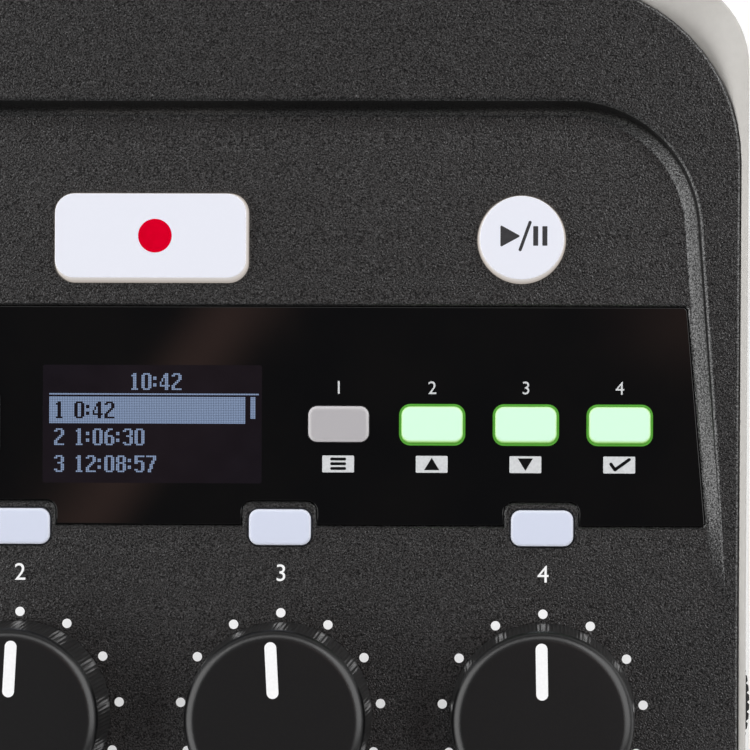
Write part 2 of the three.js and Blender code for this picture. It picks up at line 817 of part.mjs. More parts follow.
// A volume knob on the front wall, and the pot behind it.
function volumeKnob() {
  const radius = volumeKnobDiameter / 2;
  const tip = volumeKnobGap + volumeKnobLength;
  const stemFoot = -caseWall - fit - volumePotDepth + 2 * fit;
  return turned(
    [
      [0, stemFoot],
      [volumeStemDiameter / 2, stemFoot],
      [volumeStemDiameter / 2, volumeKnobGap],
      [radius, volumeKnobGap],
      [radius, tip - volumeKnobChamfer],
      [radius - volumeKnobChamfer, tip],
      [0, tip],
    ],
    roundSegments,
  );
}

function volumePot() {
  const face = caseWall + fit;
  const half = volumePotWidth / 2;
  const foot = mainBoardTop + fit - frontAxisHeight;
  return solid(block(-half, half, face, face + volumePotDepth, foot, volumePotShoulder)).subtract(
    solid(rodY(volumeStemDiameter + 2 * fit, face - cutOver, face + volumePotDepth - fit, 0, 0)),
  );
}

// A microphone socket about +Z: a collar outside the wall, and a ring groove round the core.
function micSocket() {
  const face = fit + micCollarThickness;
  const grooveFoot = face - micGrooveDepth;
  return turned(
    [
      [0, -micBodyDepth],
      [micBodyDiameter / 2, -micBodyDepth],
      [micBodyDiameter / 2, fit],
      [micCollarDiameter / 2, fit],
      [micCollarDiameter / 2, face],
      [micGrooveOuter / 2, face],
      [micGrooveOuter / 2, grooveFoot],
      [micGrooveInner / 2, grooveFoot],
      [micGrooveInner / 2, face - micCoreSink],
      [0, face - micCoreSink],
    ],
    roundSegments,
  );
}

// The power slider: a hump outside, a neck through the wall, and a tab that holds it inside.
function powerSlider() {
  const base = sideX - sliderPocket + fit;
  const tip = sideX - sliderPocket + sliderHump;
  const sagitta = tip - base;
  const half = sliderLength / 2;
  const radius = (half * half + sagitta * sagitta) / (2 * sagitta);
  const reach = Math.asin(half / radius);
  const hump = new THREE.Shape();
  hump.absarc(tip - radius, sliderY, radius, -reach, reach);
  const neck = sliderNeckLength / 2;
  const neckTall = sliderNeckTall / 2;
  const tab = neck + sliderTabMargin;
  const tabTall = neckTall + sliderTabMargin;
  const inside = sideX - caseWall - fit;
  return joined([
    solid(prismZ(hump, sliderHeight - sliderTall / 2, sliderHeight + sliderTall / 2, bigCornerSegments)),
    solid(
      block(
        inside - fit, base + fit, sliderY - neck, sliderY + neck,
        sliderHeight - neckTall, sliderHeight + neckTall,
      ),
    ),
    solid(
      block(
        inside - sliderTabThickness, inside, sliderY - tab, sliderY + tab,
        sliderHeight - tabTall, sliderHeight + tabTall,
      ),
    ),
  ]);
}

// The data port: a rounded steel sleeve with a closed back and a tongue.
function usbPort() {
  const mouth = -sideX;
  const back = mouth + usbDepth;
  const skins = 2 * usbSkin;
  const half = (usbWidth - 4 * skins) / 2;
  const tall = usbTongue / 2;
  const sleeve = roundedRect(usbWidth, usbTall, usbTall / 2 - usbSkin, usbY, usbZ);
  const hollow = roundedRect(usbWidth - skins, usbTall - skins, usbTall / 2 - skins, usbY, usbZ);
  return solid(prismX(sleeve, mouth, back))
    .subtract(solid(prismX(hollow, mouth - cutOver, back - skins)))
    .add(solid(block(mouth + skins, back - usbSkin, usbY - half, usbY + half, usbZ - tall, usbZ + tall)));
}

// The card slot: a flat steel box behind the wall, open at its mouth.
function cardSlot() {
  const mouth = -sideX + caseWall + fit;
  const half = cardWidth / 2;
  const tall = cardTall / 2;
  const halfMouth = cardMouthWidth / 2;
  const tallMouth = cardMouthTall / 2;
  const [left, right] = [mouth - cutOver, mouth + cardMouthDepth];
  const body = block(mouth, mouth + cardDepth, cardY - half, cardY + half, cardZ - tall, cardZ + tall);
  const slot = block(left, right, cardY - halfMouth, cardY + halfMouth, cardZ - tallMouth, cardZ + tallMouth);
  return solid(body).subtract(solid(slot));
}

// A round cell about +Z with its nub at the top.
function cell() {
  const radius = cellDiameter / 2;
  return turned(
    [
      [0, 0],
      [radius, 0],
      [radius, cellLength],
      [cellNubDiameter / 2, cellLength],
      [cellNubDiameter / 2, cellLength + cellNubLength],
      [0, cellLength + cellNubLength],
    ],
    roundSegments,
  );
}

// The contact plate at one end of the bay, with a cone to each cell.
function contactPlate(side) {
  const wall = (side * bayLength) / 2 - side * fit;
  const face = wall - side * contactThickness;
  const halfWidth = bayWidth / 2 - fit;
  const plate = block(
    Math.min(wall, face), Math.max(wall, face), bayY - halfWidth, bayY + halfWidth,
    cellZ - contactHeight / 2, cellZ + contactHeight / 2,
  );
  const cones = cellRows.map((y) => {
    const cone = new THREE.CylinderGeometry(contactConeTip, contactConeBase, contactCone, smallSegments);
    return solid(cone.rotateZ((side * Math.PI) / 2).translate(face - (side * contactCone) / 2, y, cellZ));
  });
  const overlap = block(
    Math.min(wall, face - side * fit), Math.max(wall, face - side * fit),
    bayY - cellDiameter / 2, bayY + cellDiameter / 2, cellZ - contactConeTip, cellZ + contactConeTip,
  );
  return joined([solid(plate), solid(overlap), ...cones]);
}

// The battery door's outline, grown by grow: round corners at the front, square ones at the hinge.
function doorPlan(grow) {
  const x = doorLength / 2 + grow;
  const front = bayY - doorWidth / 2 - grow;
  const rear = bayY + doorWidth / 2 + grow;
  const radius = doorCorner + grow;
  const shape = new THREE.Shape();
  shape.moveTo(x, rear);
  shape.lineTo(-x, rear);
  shape.absarc(-x + radius, front + radius, radius, Math.PI, 1.5 * Math.PI);
  shape.absarc(x - radius, front + radius, radius, 1.5 * Math.PI, 2 * Math.PI);
  return shape;
}

// The battery door: a plate whose rear edge is round about its hinge line, with a finger notch at the front.
function batteryDoor() {
  const hingeY = bayY + doorWidth / 2 - doorThickness / 2;
  const axisZ = footLift + doorThickness / 2;
  const frontEdge = bayY - doorWidth / 2;
  const halfLength = doorLength / 2;
  const notch = roundedRect(doorNotchWidth, 2 * doorNotchDepth, doorNotchDepth / 2, 0, frontEdge);
  const squareRear = block(
    -halfLength - cutOver, halfLength + cutOver, hingeY, hingeY + doorThickness, 0, bayFloor,
  );
  return solid(prismZ(doorPlan(0), footLift, footLift + doorThickness))
    .subtract(solid(squareRear))
    .add(solid(rodX(doorThickness, -halfLength, halfLength, hingeY, axisZ)))
    .subtract(solid(prismZ(notch, 0, bayFloor)));
}

// A screw from below: a head in its seat, and a shank through the post into the boss.
function caseScrew(x, y) {
  return joined([
    solid(rodZ(screwHeadDiameter, headTop - fit - screwHeadHeight, headTop - fit, x, y)),
    solid(rodZ(screwDiameter, headTop - fit - screwHeadHeight / 2, screwTip - fit, x, y)),
  ]);
}

function rubberFoot(y) {
  return solid(prismZ(footShape(0, y), 0, footLift + footRecess - fit, bigCornerSegments));
}

// The recorder
const recorder = new THREE.Group();
const panel = new THREE.Group();
panel.applyMatrix4(panelFrame);
recorder.add(panel);

recorder.add(piece("base_shell", baseShell(), lightCase));
recorder.add(piece("top_cover", topCover(), darkGrain));
recorder.add(piece("main_board", mainBoard(), boardGreen));
recorder.add(piece("battery_door", batteryDoor(), lightCase));
recorder.add(piece("contact_left", contactPlate(-1), steel));
recorder.add(piece("contact_right", contactPlate(1), steel));
recorder.add(piece("power_slider", powerSlider(), partBlack));
recorder.add(piece("usb_port", usbPort(), steel));
recorder.add(piece("card_slot", cardSlot(), steel));
recorder.add(piece("rubber_foot_front", rubberFoot(footY[0]), rubber));
recorder.add(piece("rubber_foot_rear", rubberFoot(footY[1]), rubber));
screwPlaces.forEach(([x, y], i) => recorder.add(piece(`case_screw_${i + 1}`, caseScrew(x, y), steel)));

const phone = piece("phone_socket", jack(phoneHeight), partBlack);
phone.rotation.z = Math.PI / 2;
phone.position.set(sideX, phoneY, phoneHeight);
recorder.add(phone);

cellRows.forEach((y, i) => {
  const turn = i === 0 ? 1 : -1;
  const mesh = piece(`cell_${i + 1}`, solid(cell()), cellJacket);
  mesh.rotation.y = (turn * Math.PI) / 2;
  mesh.position.set((-turn * (cellLength + cellNubLength)) / 2, y, cellZ);
  recorder.add(mesh);
});

panel.add(piece("display_window", displayWindow(), glossBlack));
panel.add(piece("oled_module", oledModule(), glossBlack));
panel.add(piece("panel_board", panelBoard(), boardGreen));
keys.forEach((key) => panel.add(piece(key.name, pressedKey(key), key.material)));

channels.forEach((x, i) => {
  const knob = piece(`gain_knob_${i + 1}`, gainKnob(), knobBlack);
  knob.position.x = x;
  knob.rotation.z = knobRestDegrees[i] * radians;
  panel.add(knob);

  const pot = piece(`gain_pot_${i + 1}`, gainPot(), partBlack);
  pot.position.x = x;
  panel.add(pot);

  const volume = piece(`volume_knob_${i + 1}`, solid(volumeKnob()), knobBlack);
  volume.rotation.x = Math.PI / 2;
  volume.position.set(volumeColumns[i], frontY, frontAxisHeight);
  recorder.add(volume);

  const volumeBody = piece(`volume_pot_${i + 1}`, volumePot(), partBlack);
  volumeBody.position.set(volumeColumns[i], frontY, frontAxisHeight);
  recorder.add(volumeBody);

  const headphones = piece(`headphone_jack_${i + 1}`, jack(frontAxisHeight), partBlack);
  headphones.position.set(jackColumns[i], frontY, frontAxisHeight);
  recorder.add(headphones);

  const mic = piece(`mic_socket_${i + 1}`, solid(micSocket()), partBlack);
  mic.rotation.x = -Math.PI / 2;
  mic.position.set(x, rearY, micHeight);
  recorder.add(mic);
});

export default recorder;
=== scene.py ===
import math

import bmesh
import bpy
import numpy as np
from mathutils import Matrix, Vector


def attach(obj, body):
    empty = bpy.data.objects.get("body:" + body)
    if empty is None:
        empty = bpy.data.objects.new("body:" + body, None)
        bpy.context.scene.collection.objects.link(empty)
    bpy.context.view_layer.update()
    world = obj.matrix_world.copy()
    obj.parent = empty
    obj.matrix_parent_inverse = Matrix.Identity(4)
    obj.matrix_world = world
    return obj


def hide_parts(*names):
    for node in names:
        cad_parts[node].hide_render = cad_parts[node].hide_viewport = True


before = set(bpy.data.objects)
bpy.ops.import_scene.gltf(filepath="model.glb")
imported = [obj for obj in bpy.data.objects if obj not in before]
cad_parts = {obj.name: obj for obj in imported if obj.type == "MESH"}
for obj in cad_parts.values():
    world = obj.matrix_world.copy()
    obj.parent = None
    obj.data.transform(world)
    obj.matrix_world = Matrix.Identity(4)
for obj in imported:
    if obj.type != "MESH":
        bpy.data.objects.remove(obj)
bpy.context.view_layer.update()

# Sizes in millimetres, in the recorder's own frame: +X right, +Y to the rear, +Z up, z = 0 on the table.
# FIT and GAP are the play between pieces, out of sight and in sight; LIGHT_GAP is that round a lit key.
# A cut starts BEYOND the face that it opens, and its flared mouth goes past that face by OVERRUN.
MM = 0.001
FIT = 0.3
GAP = 0.12
LIGHT_GAP = 0.3
BEYOND = 1.0
OVERRUN = 0.02
WELD_METRES = 2e-7
INK = 0.02
SIDE_X = 79.5
FRONT_Y, REAR_Y = -56.4, 64.6
CASE_FOOT = 1.5
CASE_FLOOR_TOP = 3.9
CASE_REAR_RADIUS, CASE_FRONT_RADIUS = 12.0, 14.0
COVER_INSET, SEAM = 0.98, 0.03
COVER_REAR_RADIUS, COVER_FRONT_RADIUS = 23.72, 13.22
COVER_THICKNESS = 2.4
LEDGE_WIDTH, LEDGE_THICKNESS = 2.5, 2.0
CASE_WALL = 2.4

# The panel's frame: u right, v rearward from the knob row, w out of the panel.
KNOB_ROW_Y = -33.2
PANEL_HEIGHT = 33.5
TILT = math.radians(3)
RISE = math.radians(4)
RIM_START = 14.5
RIM_START_Y = KNOB_ROW_Y + RIM_START * math.cos(TILT)
TRAY_REAR = 81.62
TRAY_HALF_WIDTH_AT_KNOBS = 78.0
TRAY_TAPER = 0.0744
TRAY_CORNER_RADIUS = 17.3
TRAY_WALL_RUN = 2.0
RIM_EDGE_RADIUS, RIM_EDGE_SHARE = 0.5, 0.35

CHANNELS = np.array([-52.5, -17.5, 17.5, 52.5])
KEY_COLUMNS = np.array([25.15, 37.65, 50.15, 62.65])
RECORD_ROW, FUNCTION_ROW, MUTE_ROW, DISPLAY_ROW = 63.8, 38.7, 24.9, 38.9
WINDOW_TOP, WINDOW_THICKNESS = -0.15, 1.2
WINDOW_FRONT, WINDOW_REAR = 25.2, 54.4
WINDOW_FRONT_HALF, WINDOW_REAR_HALF = 74.0, 71.6
NOTCH_WIDTH, NOTCH_DEPTH, NOTCH_RADIUS, NOTCH_SHIFT = 10.1, 3.2, 1.4, -0.25
BUTTON_PROUD, PAD_PROUD, KEY_PROUD = 1.8, 0.7, 0.5

KNOB_FOOT, KNOB_TOP = 0.6, 13.77
KNOB_RADIUS, KNOB_TOP_RADIUS = 12.3, 11.9
KNOB_REST_DEGREES = (0, -3, 3, 1)
RIB_SHARPNESS = 0.7

VOLUME_COLUMNS = CHANNELS - 7.2
JACK_COLUMNS = CHANNELS + 7.2
FRONT_AXIS_Z = 15.0
MIC_Z = 22.5
MIC_BORE, VOLUME_BORE, JACK_BORE, BORE_DEPTH = 11.5, 2.3, 3.2, 4.0
PIN_CIRCLE, PIN_BORE = 5.55, 1.15
BAY_Y, BAY_HALF_LENGTH, BAY_HALF_WIDTH = -1.7, 29.45, 14.65
CELL_SHIFT, CELL_Z = 7.25, 10.8
DOOR_HALF_LENGTH = 31.05
SCREWS = ((-70.0, -46.4), (70.0, -46.4), (-70.0, 41.6), (70.0, 41.6))
FEET_Y = (-43.4, 51.6)
SLIDER_Y, SLIDER_Z = -31.6, 15.0
PHONE_Y, PHONE_Z = 18.8, 13.0
USB_Y, USB_Z = -21.2, 9.55
CARD_Y, CARD_Z = 0.8, 8.85


# Shapes. A part is (points in millimetres, groups of faces), each group an array with one row per face.

def on_panel(points):
    """(u, v, w) of the panel as (x, y, z): turned by the tilt about the knob row, then moved to its place."""
    u, v, w = np.moveaxis(np.asarray(points, float), -1, 0)
    y = KNOB_ROW_Y + v * math.cos(TILT) - w * math.sin(TILT)
    z = PANEL_HEIGHT + v * math.sin(TILT) + w * math.cos(TILT)
    return np.stack([u, y, z], -1)


def top_z(y):
    """Height of the top over y: the panel's plane up to the fold, then the steeper rim's plane."""
    fold = PANEL_HEIGHT + (RIM_START_Y - KNOB_ROW_Y) * math.tan(TILT)
    slope = np.where(y > RIM_START_Y, math.tan(TILT + RISE), math.tan(TILT))
    return fold + (y - RIM_START_Y) * slope


def loft(rings, caps=(True, True)):
    """A skin over rings of equally many points, each ring closed on itself, with a flat cap at either end."""
    rings = np.asarray(rings, float)
    here = np.arange(rings.shape[0] * rings.shape[1]).reshape(rings.shape[:2])
    beside = np.roll(here, -1, axis=1)
    quads = np.stack([here[:-1], beside[:-1], beside[1:], here[1:]], -1).reshape(-1, 4)
    groups = [quads]
    if caps[0]:
        groups.append(here[:1, ::-1])
    if caps[1]:
        groups.append(here[-1:])
    return rings.reshape(-1, 3), groups


def strip(rows):
    """A skin over a grid of rows that stays open on all four sides."""
    rows = np.asarray(rows, float)
    here = np.arange(rows.shape[0] * rows.shape[1]).reshape(rows.shape[:2])
    quads = np.stack([here[:-1, :-1], here[:-1, 1:], here[1:, 1:], here[1:, :-1]], -1)
    return rows.reshape(-1, 3), [quads.reshape(-1, 4)]


def flat_face(outline):
    """One flat face inside a closed outline of points."""
    return np.asarray(outline, float), [np.arange(len(outline))[None]]


def rounded_rect(width, height, radius, u=0.0, v=0.0, steps=6):
    """Outline with four quarter-circle corners, anticlockwise from the lower right one. The radius is held
    just under half the short side."""
    radius = min(radius, 0.499 * min(width, height))
    turn = np.linspace(0, math.pi / 2, steps + 1)
    starts = np.array([-0.5, 0, 0.5, 1])[:, None] * math.pi
    middles = np.array([[1, -1], [1, 1], [-1, 1], [-1, -1]]) * [width / 2 - radius, height / 2 - radius]
    angle = starts + turn
    arcs = middles[:, None] + radius * np.stack([np.cos(angle), np.sin(angle)], -1)
    return arcs.reshape(-1, 2) + [u, v]


def circle(radius, u=0.0, v=0.0, count=48):
    """Points evenly round a circle, anticlockwise."""
    angle = np.arange(count) * 2 * math.pi / count
    return np.stack([u + radius * np.cos(angle), v + radius * np.sin(angle)], -1)


def inward(outline, inset):
    """Each point moved along the mitre of its two edges, so that every edge moves in by inset."""
    edge = np.roll(outline, -1, axis=0) - outline
    edge /= np.linalg.norm(edge, axis=1)[:, None]
    into = np.stack([-edge[:, 1], edge[:, 0]], -1)
    before = np.roll(into, 1, axis=0)
    mitre = (into + before) / (1 + (into * before).sum(1))[:, None]
    return outline + mitre * inset


def quarter(radius, height, steps=5):
    """(inset, height) up a side and round onto the top at height, on a quarter circle."""
    angle = np.linspace(0, math.pi / 2, steps + 1)
    return list(zip(radius * (1 - np.cos(angle)), height - radius * (1 - np.sin(angle))))


def level(ring, height):
    """Plan points at one height."""
    return np.column_stack([ring, np.full(len(ring), height)])


def risen(outline, profile):
    """Rings of an outline, one for each (inset, height) of a profile, closed by flat caps."""
    return loft([level(inward(outline, inset), height) for inset, height in profile])


def turned(profile, count=48, ribs=0, rib_depth=0.0, ribbed=()):
    """A profile of (radius, height) turned about the height axis. In the rows in ribbed a cosine of the
    angle, raised to a power, is taken off the radius, which leaves ribs."""
    profile = np.asarray(profile, float)
    angle = np.arange(count) * 2 * math.pi / count
    wave = np.zeros((len(profile), count))
    if ribs:
        wave[list(ribbed)] = rib_depth * (0.5 - 0.5 * np.cos(ribs * angle)) ** RIB_SHARPNESS
    radius = profile[:, :1] - wave
    height = np.broadcast_to(profile[:, 1:], radius.shape)
    rings = np.stack([radius * np.cos(angle), radius * np.sin(angle), height], -1)
    return loft(rings, caps=(profile[0, 0] > 0, profile[-1, 0] > 0))


def moved(part, place):
    """A part with its points put through a placing function."""
    return place(part[0]), part[1]


def shifted(part, x, y):
    """A part moved sideways."""
    return part[0] + [x, y, 0], part[1]


def to_rear(x, z):
    """Places a turned part with its height axis pointing out of the rear wall at (x, z)."""
    return lambda p: np.stack([x - p[:, 0], REAR_Y + p[:, 2], z + p[:, 1]], -1)


def to_front(x, z):
    """Places a turned part with its height axis pointing out of the front wall at (x, z)."""
    return lambda p: np.stack([x + p[:, 0], FRONT_Y - p[:, 2], z + p[:, 1]], -1)


def to_right(y, z):
    """Places a turned part with its height axis pointing out of the right wall at (y, z)."""
    return lambda p: np.stack([SIDE_X + p[:, 2], y + p[:, 0], z + p[:, 1]], -1)


def to_left(y, z):
    """Places a turned part with its height axis pointing out of the left wall at (y, z)."""
    return lambda p: np.stack([-SIDE_X - p[:, 2], y - p[:, 0], z + p[:, 1]], -1)


def panel_place(u=0.0, v=0.0, degrees=0.0):
    """Places a part on the panel at (u, v), turned anticlockwise about its own middle."""
    c, s = math.cos(math.radians(degrees)), math.sin(math.radians(degrees))
    return lambda p: on_panel(
        np.stack([u + p[:, 0] * c - p[:, 1] * s, v + p[:, 0] * s + p[:, 1] * c, p[:, 2]], -1)
    )


def box_part(low, high):
    """A plain block between two corners, for the inside of a cut or a small tab."""
    (x0, y0, z0), (x1, y1, z1) = low, high
    ring = np.array([[x0, y0], [x1, y0], [x1, y1], [x0, y1]])
    return loft([level(ring, z) for z in (z0, z1)])


def mesh_of(name, parts):
    """One mesh from parts: their points welded where they meet, and every face turned outwards."""
    points, faces, first = [], [], 0
    for part in parts:
        for group in part[1]:
            faces += (np.asarray(group) + first).tolist()
        points.append(np.asarray(part[0], float))
        first += len(part[0])
    mesh = bpy.data.meshes.new(name)
    mesh.from_pydata((np.concatenate(points) * MM).tolist(), [], faces)
    bm = bmesh.new()
    bm.from_mesh(mesh)
    bmesh.ops.remove_doubles(bm, verts=bm.verts, dist=WELD_METRES)
    bmesh.ops.recalc_face_normals(bm, faces=bm.faces)
    bm.to_mesh(mesh)
    bm.free()
    return mesh


def new_object(name, data):
    """An object in the scene that holds a mesh, a text, a lamp or a camera."""
    made = bpy.data.objects.new(name, data)
    bpy.context.scene.collection.objects.link(made)
    return made


def worked_out(thing):
    """The plain mesh of an object, with its cut or its text worked out."""
    bpy.context.view_layer.update()
    shown = thing.evaluated_get(bpy.context.evaluated_depsgraph_get())
    return bpy.data.meshes.new_from_object(shown)


def points_of(mesh):
    """A mesh's points as an array with one row each."""
    points = np.zeros(len(mesh.vertices) * 3)
    mesh.vertices.foreach_get("co", points)
    return points.reshape(-1, 3)


def carve(piece, parts, operation):
    """Cuts closed parts out of the piece, or joins them to it, and leaves it a plain mesh again."""
    tool = new_object("tool", mesh_of("tool", parts))
    tool.data.materials.append(piece.data.materials[0])
    cut = piece.modifiers.new("cut", "BOOLEAN")
    cut.operation, cut.solver, cut.object = operation, "EXACT", tool
    result = worked_out(piece)
    piece.modifiers.clear()
    piece.data = result
    bpy.data.objects.remove(tool)


def add(name, parts, finish, body="recorder", stands_for=(), crease=38, cuts=()):
    """A piece of the recorder: its mesh, finish, body, the CAD nodes it stands for, and its cuts as
    (operation, parts). Faces that meet at less than crease degrees are shaded as one."""
    mesh = mesh_of(name, parts)
    mesh.materials.append(finish)
    piece = new_object(name, mesh)
    for operation, tools in cuts:
        carve(piece, tools, operation)
    piece.data.name = name
    piece.data.shade_smooth()
    piece.data.set_sharp_from_angle(angle=math.radians(crease))
    even = piece.modifiers.new("even_shading", "WEIGHTED_NORMAL")
    even.keep_sharp = True
    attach(piece, body)
    if stands_for:
        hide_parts(*stands_for)
    return piece


# Finishes. Colours are written as they look, in steps of 255.

COAT_ROUGHNESS = 0.06
NOISE_LOW, NOISE_HIGH = 0.35, 0.65
# Edge value at which a key's side reaches its full painted glow.
PAINTED_SIDE_GLOW_START = 0.6
SHEEN_LOW, SHEEN_HIGH = 0.3, 1.75


def tone(red, green, blue):
    """A colour written in display steps, as the linear colour that the shader takes."""
    steps = np.array([red, green, blue]) / 255
    linear = np.where(steps <= 0.04045, steps / 12.92, ((steps + 0.055) / 1.055) ** 2.4)
    return (*linear.tolist(), 1.0)


def shader_of(material):
    """The surface shader of a finish."""
    return material.node_tree.nodes["Principled BSDF"]


def new_finish(name, colour, roughness, metal=0.0, coat=0.0, specular=0.5):
    """A finish of one colour, with how rough, metallic and coated it is and how strongly it mirrors."""
    material = bpy.data.materials.new(name)
    material.use_nodes = True
    numbers = {"Base Color": tone(*colour), "Roughness": roughness, "Metallic": metal, "Coat Weight": coat,
               "Coat Roughness": COAT_ROUGHNESS, "Specular IOR Level": specular}
    for key, value in numbers.items():
        shader_of(material).inputs[key].default_value = value
    return material


def node(owner, kind, numbers=None, **settings):
    """A node of a finish or of the world, with numbers for its inputs and settings of its own."""
    made = owner.node_tree.nodes.new(kind)
    for key, value in settings.items():
        setattr(made, key, value)
    for key, value in (numbers or {}).items():
        made.inputs[key].default_value = value
    return made


def link(owner, start, end):
    """Leads one node's output to another's input."""
    owner.node_tree.links.new(start, end)


def noise_of(material, scale, detail=2.0, stretch=(1, 1, 1)):
    """Noise on the piece's own place in space, its scale in waves per metre, stretched along the axes."""
    where = node(material, "ShaderNodeTexCoord")
    mapping = node(material, "ShaderNodeMapping", {"Scale": stretch})
    noise = node(material, "ShaderNodeTexNoise", {"Scale": scale, "Detail": detail})
    link(material, where.outputs["Object"], mapping.inputs["Vector"])
    link(material, mapping.outputs["Vector"], noise.inputs["Vector"])
    return noise.outputs["Fac"]


def ramp_of(owner, value, stops):
    """Colours along a value, from (place, colour) stops in rising order."""
    ramp = node(owner, "ShaderNodeValToRGB")
    elements = ramp.color_ramp.elements
    while len(elements) < len(stops):
        elements.new(0.5)
    for element, (place, colour) in zip(elements, stops):
        element.position = place
        element.color = colour
    link(owner, value, ramp.inputs["Fac"])
    return ramp.outputs["Color"]


def span_of(owner, value, low, high, at_low, at_high, kind="LINEAR"):
    """A value that goes from at_low to at_high while the given one goes from low to high."""
    numbers = {"From Min": low, "From Max": high, "To Min": at_low, "To Max": at_high}
    span = node(owner, "ShaderNodeMapRange", numbers, interpolation_type=kind)
    link(owner, value, span.inputs["Value"])
    return span.outputs["Result"]


def mottle(material, low, high, scale, detail=3.0, spread=0.12, stretch=(1, 1, 1)):
    """The base colour wanders between two colours with a noise of that scale."""
    value = noise_of(material, scale, detail, stretch)
    colour = ramp_of(material, value, [(0.5 - spread, tone(*low)), (0.5 + spread, tone(*high))])
    link(material, colour, shader_of(material).inputs["Base Color"])


def grain(material, scale, depth):
    """A fine raised grain: noise as a bump whose full height is depth, in millimetres."""
    bump = node(material, "ShaderNodeBump", {"Strength": 1.0, "Distance": depth * MM})
    link(material, noise_of(material, scale), bump.inputs["Height"])
    link(material, bump.outputs["Normal"], shader_of(material).inputs["Normal"])


def wear(material, low, high, scale):
    """Roughness that wanders between low and high, as handling leaves it."""
    rough = span_of(material, noise_of(material, scale, 4.0), NOISE_LOW, NOISE_HIGH, low, high)
    link(material, rough, shader_of(material).inputs["Roughness"])


def shine(material, colour, strength):
    """The finish gives off light of one colour."""
    shader_of(material).inputs["Emission Color"].default_value = tone(*colour)
    shader_of(material).inputs["Emission Strength"].default_value = strength


def glow(material, stops, strength, painted_side_glow=None):
    """Colours from a key's top, at 0, to its side, at 1, that it shows and gives off. For a lit key they are
    its backlight.
    On the other keys they are a painted highlight on the round edge, painted shade down the sides and a
    painted glow.
    Its side can give off more than its top, as a painted glow."""
    shader = shader_of(material)
    edge = node(material, "ShaderNodeAttribute", attribute_name="edge").outputs["Fac"]
    colour = ramp_of(material, edge, [(place, tone(*colour)) for place, colour in stops])
    link(material, colour, shader.inputs["Emission Color"])
    link(material, colour, shader.inputs["Base Color"])
    shader.inputs["Emission Strength"].default_value = strength
    if painted_side_glow is not None:
        level = span_of(material, edge, 0.0, PAINTED_SIDE_GLOW_START, strength, painted_side_glow)
        link(material, level, shader.inputs["Emission Strength"])


cover_black = new_finish("spark_grained_cover", (18, 17, 17), 0.29)
mottle(cover_black, (0, 0, 0), (25, 24, 24), 3900, 2.0, 0.1)
grain(cover_black, 4300, 0.075)
sheen = span_of(cover_black, noise_of(cover_black, 4600), 0.36, 0.64, SHEEN_LOW, SHEEN_HIGH)
link(cover_black, sheen, shader_of(cover_black).inputs["Specular IOR Level"])

case_grey = new_finish("light_grey_case", (199, 196, 191), 0.45)
mottle(case_grey, (200, 197, 192), (203, 200, 195), 900)
grain(case_grey, 5200, 0.008)

gloss_black = new_finish("gloss_black_strip", (6, 6, 7), 0.04)
mottle(gloss_black, (5, 5, 6), (9, 8, 8), 60)
wear(gloss_black, 0.02, 0.06, 45)

# Painted light: the round edge is painted lighter as a highlight, the sides darker beige as shade, and the
# sides give off a painted glow.
white_key = new_finish("white_key", (229, 231, 240), 0.32)
glow(white_key, [(0.0, (228, 230, 240)), (0.12, (234, 235, 242)), (0.5, (196, 190, 186)),
                 (1.0, (164, 157, 151))], 0.08, 0.95)
grain(white_key, 2600, 0.002)

red_dot = new_finish("red_dot_ink", (214, 0, 38), 0.5, specular=0.0)
mottle(red_dot, (211, 0, 36), (217, 0, 40), 900)

icon_ink = new_finish("dark_icon_ink", (44, 43, 46), 0.5)
mottle(icon_ink, (41, 40, 43), (47, 46, 49), 1500)

# White print that also gives off a painted glow, which lifts the dots, numbers and pointers out of the knobs'
# shade.
print_white_painted_glow = new_finish("white_print_painted_glow", (190, 190, 191), 0.6)
mottle(print_white_painted_glow, (187, 187, 188), (193, 193, 194), 2500)
shine(print_white_painted_glow, (255, 255, 255), 0.43)

print_grey = new_finish("grey_print", (212, 214, 216), 0.5)
mottle(print_grey, (207, 209, 211), (217, 219, 221), 2500)

sign_ink = new_finish("black_sign_ink", (8, 8, 9), 0.5, specular=0.1)
mottle(sign_ink, (6, 6, 7), (11, 11, 12), 1500)

print_dark = new_finish("dark_print", (70, 70, 70), 0.5)
mottle(print_dark, (64, 64, 64), (76, 76, 76), 2500)

knob_black = new_finish("knob_black", (8, 8, 9), 0.3, specular=0.7)
mottle(knob_black, (7, 7, 8), (12, 12, 13), 2600)
grain(knob_black, 5200, 0.008)

# Painted light: the round edge is painted lighter as a highlight, the foot of the sides darker as shade, and
# a faint painted glow.
mute_white = new_finish("mute_key_white", (214, 218, 236), 0.4)
glow(mute_white, [(0.0, (213, 219, 237)), (0.05, (216, 222, 239)), (0.3, (230, 234, 247)),
                  (0.7, (220, 224, 237)), (1.0, (150, 153, 165))], 0.04)

# Painted light: a lighter band where the round edge meets the side as a highlight, the side's foot darker as
# shade, and a faint painted glow.
pad_white = new_finish("sound_pad_white", (222, 224, 230), 0.42)
glow(pad_white, [(0.0, (216, 218, 226)), (0.8, (224, 226, 232)), (1.0, (205, 206, 212))], 0.02)

key_green = new_finish("lit_green_key", (214, 250, 222), 0.45)
glow(key_green, [(0.0, (196, 232, 206)), (0.06, (198, 235, 196)), (0.25, (184, 232, 158)),
                 (0.75, (150, 214, 104)), (1.0, (96, 176, 58))], 0.28)

green_light = new_finish("green_key_light", (50, 110, 26), 0.6)
mottle(green_light, (46, 104, 24), (54, 116, 28), 900)
shine(green_light, (80, 152, 46), 0.7)

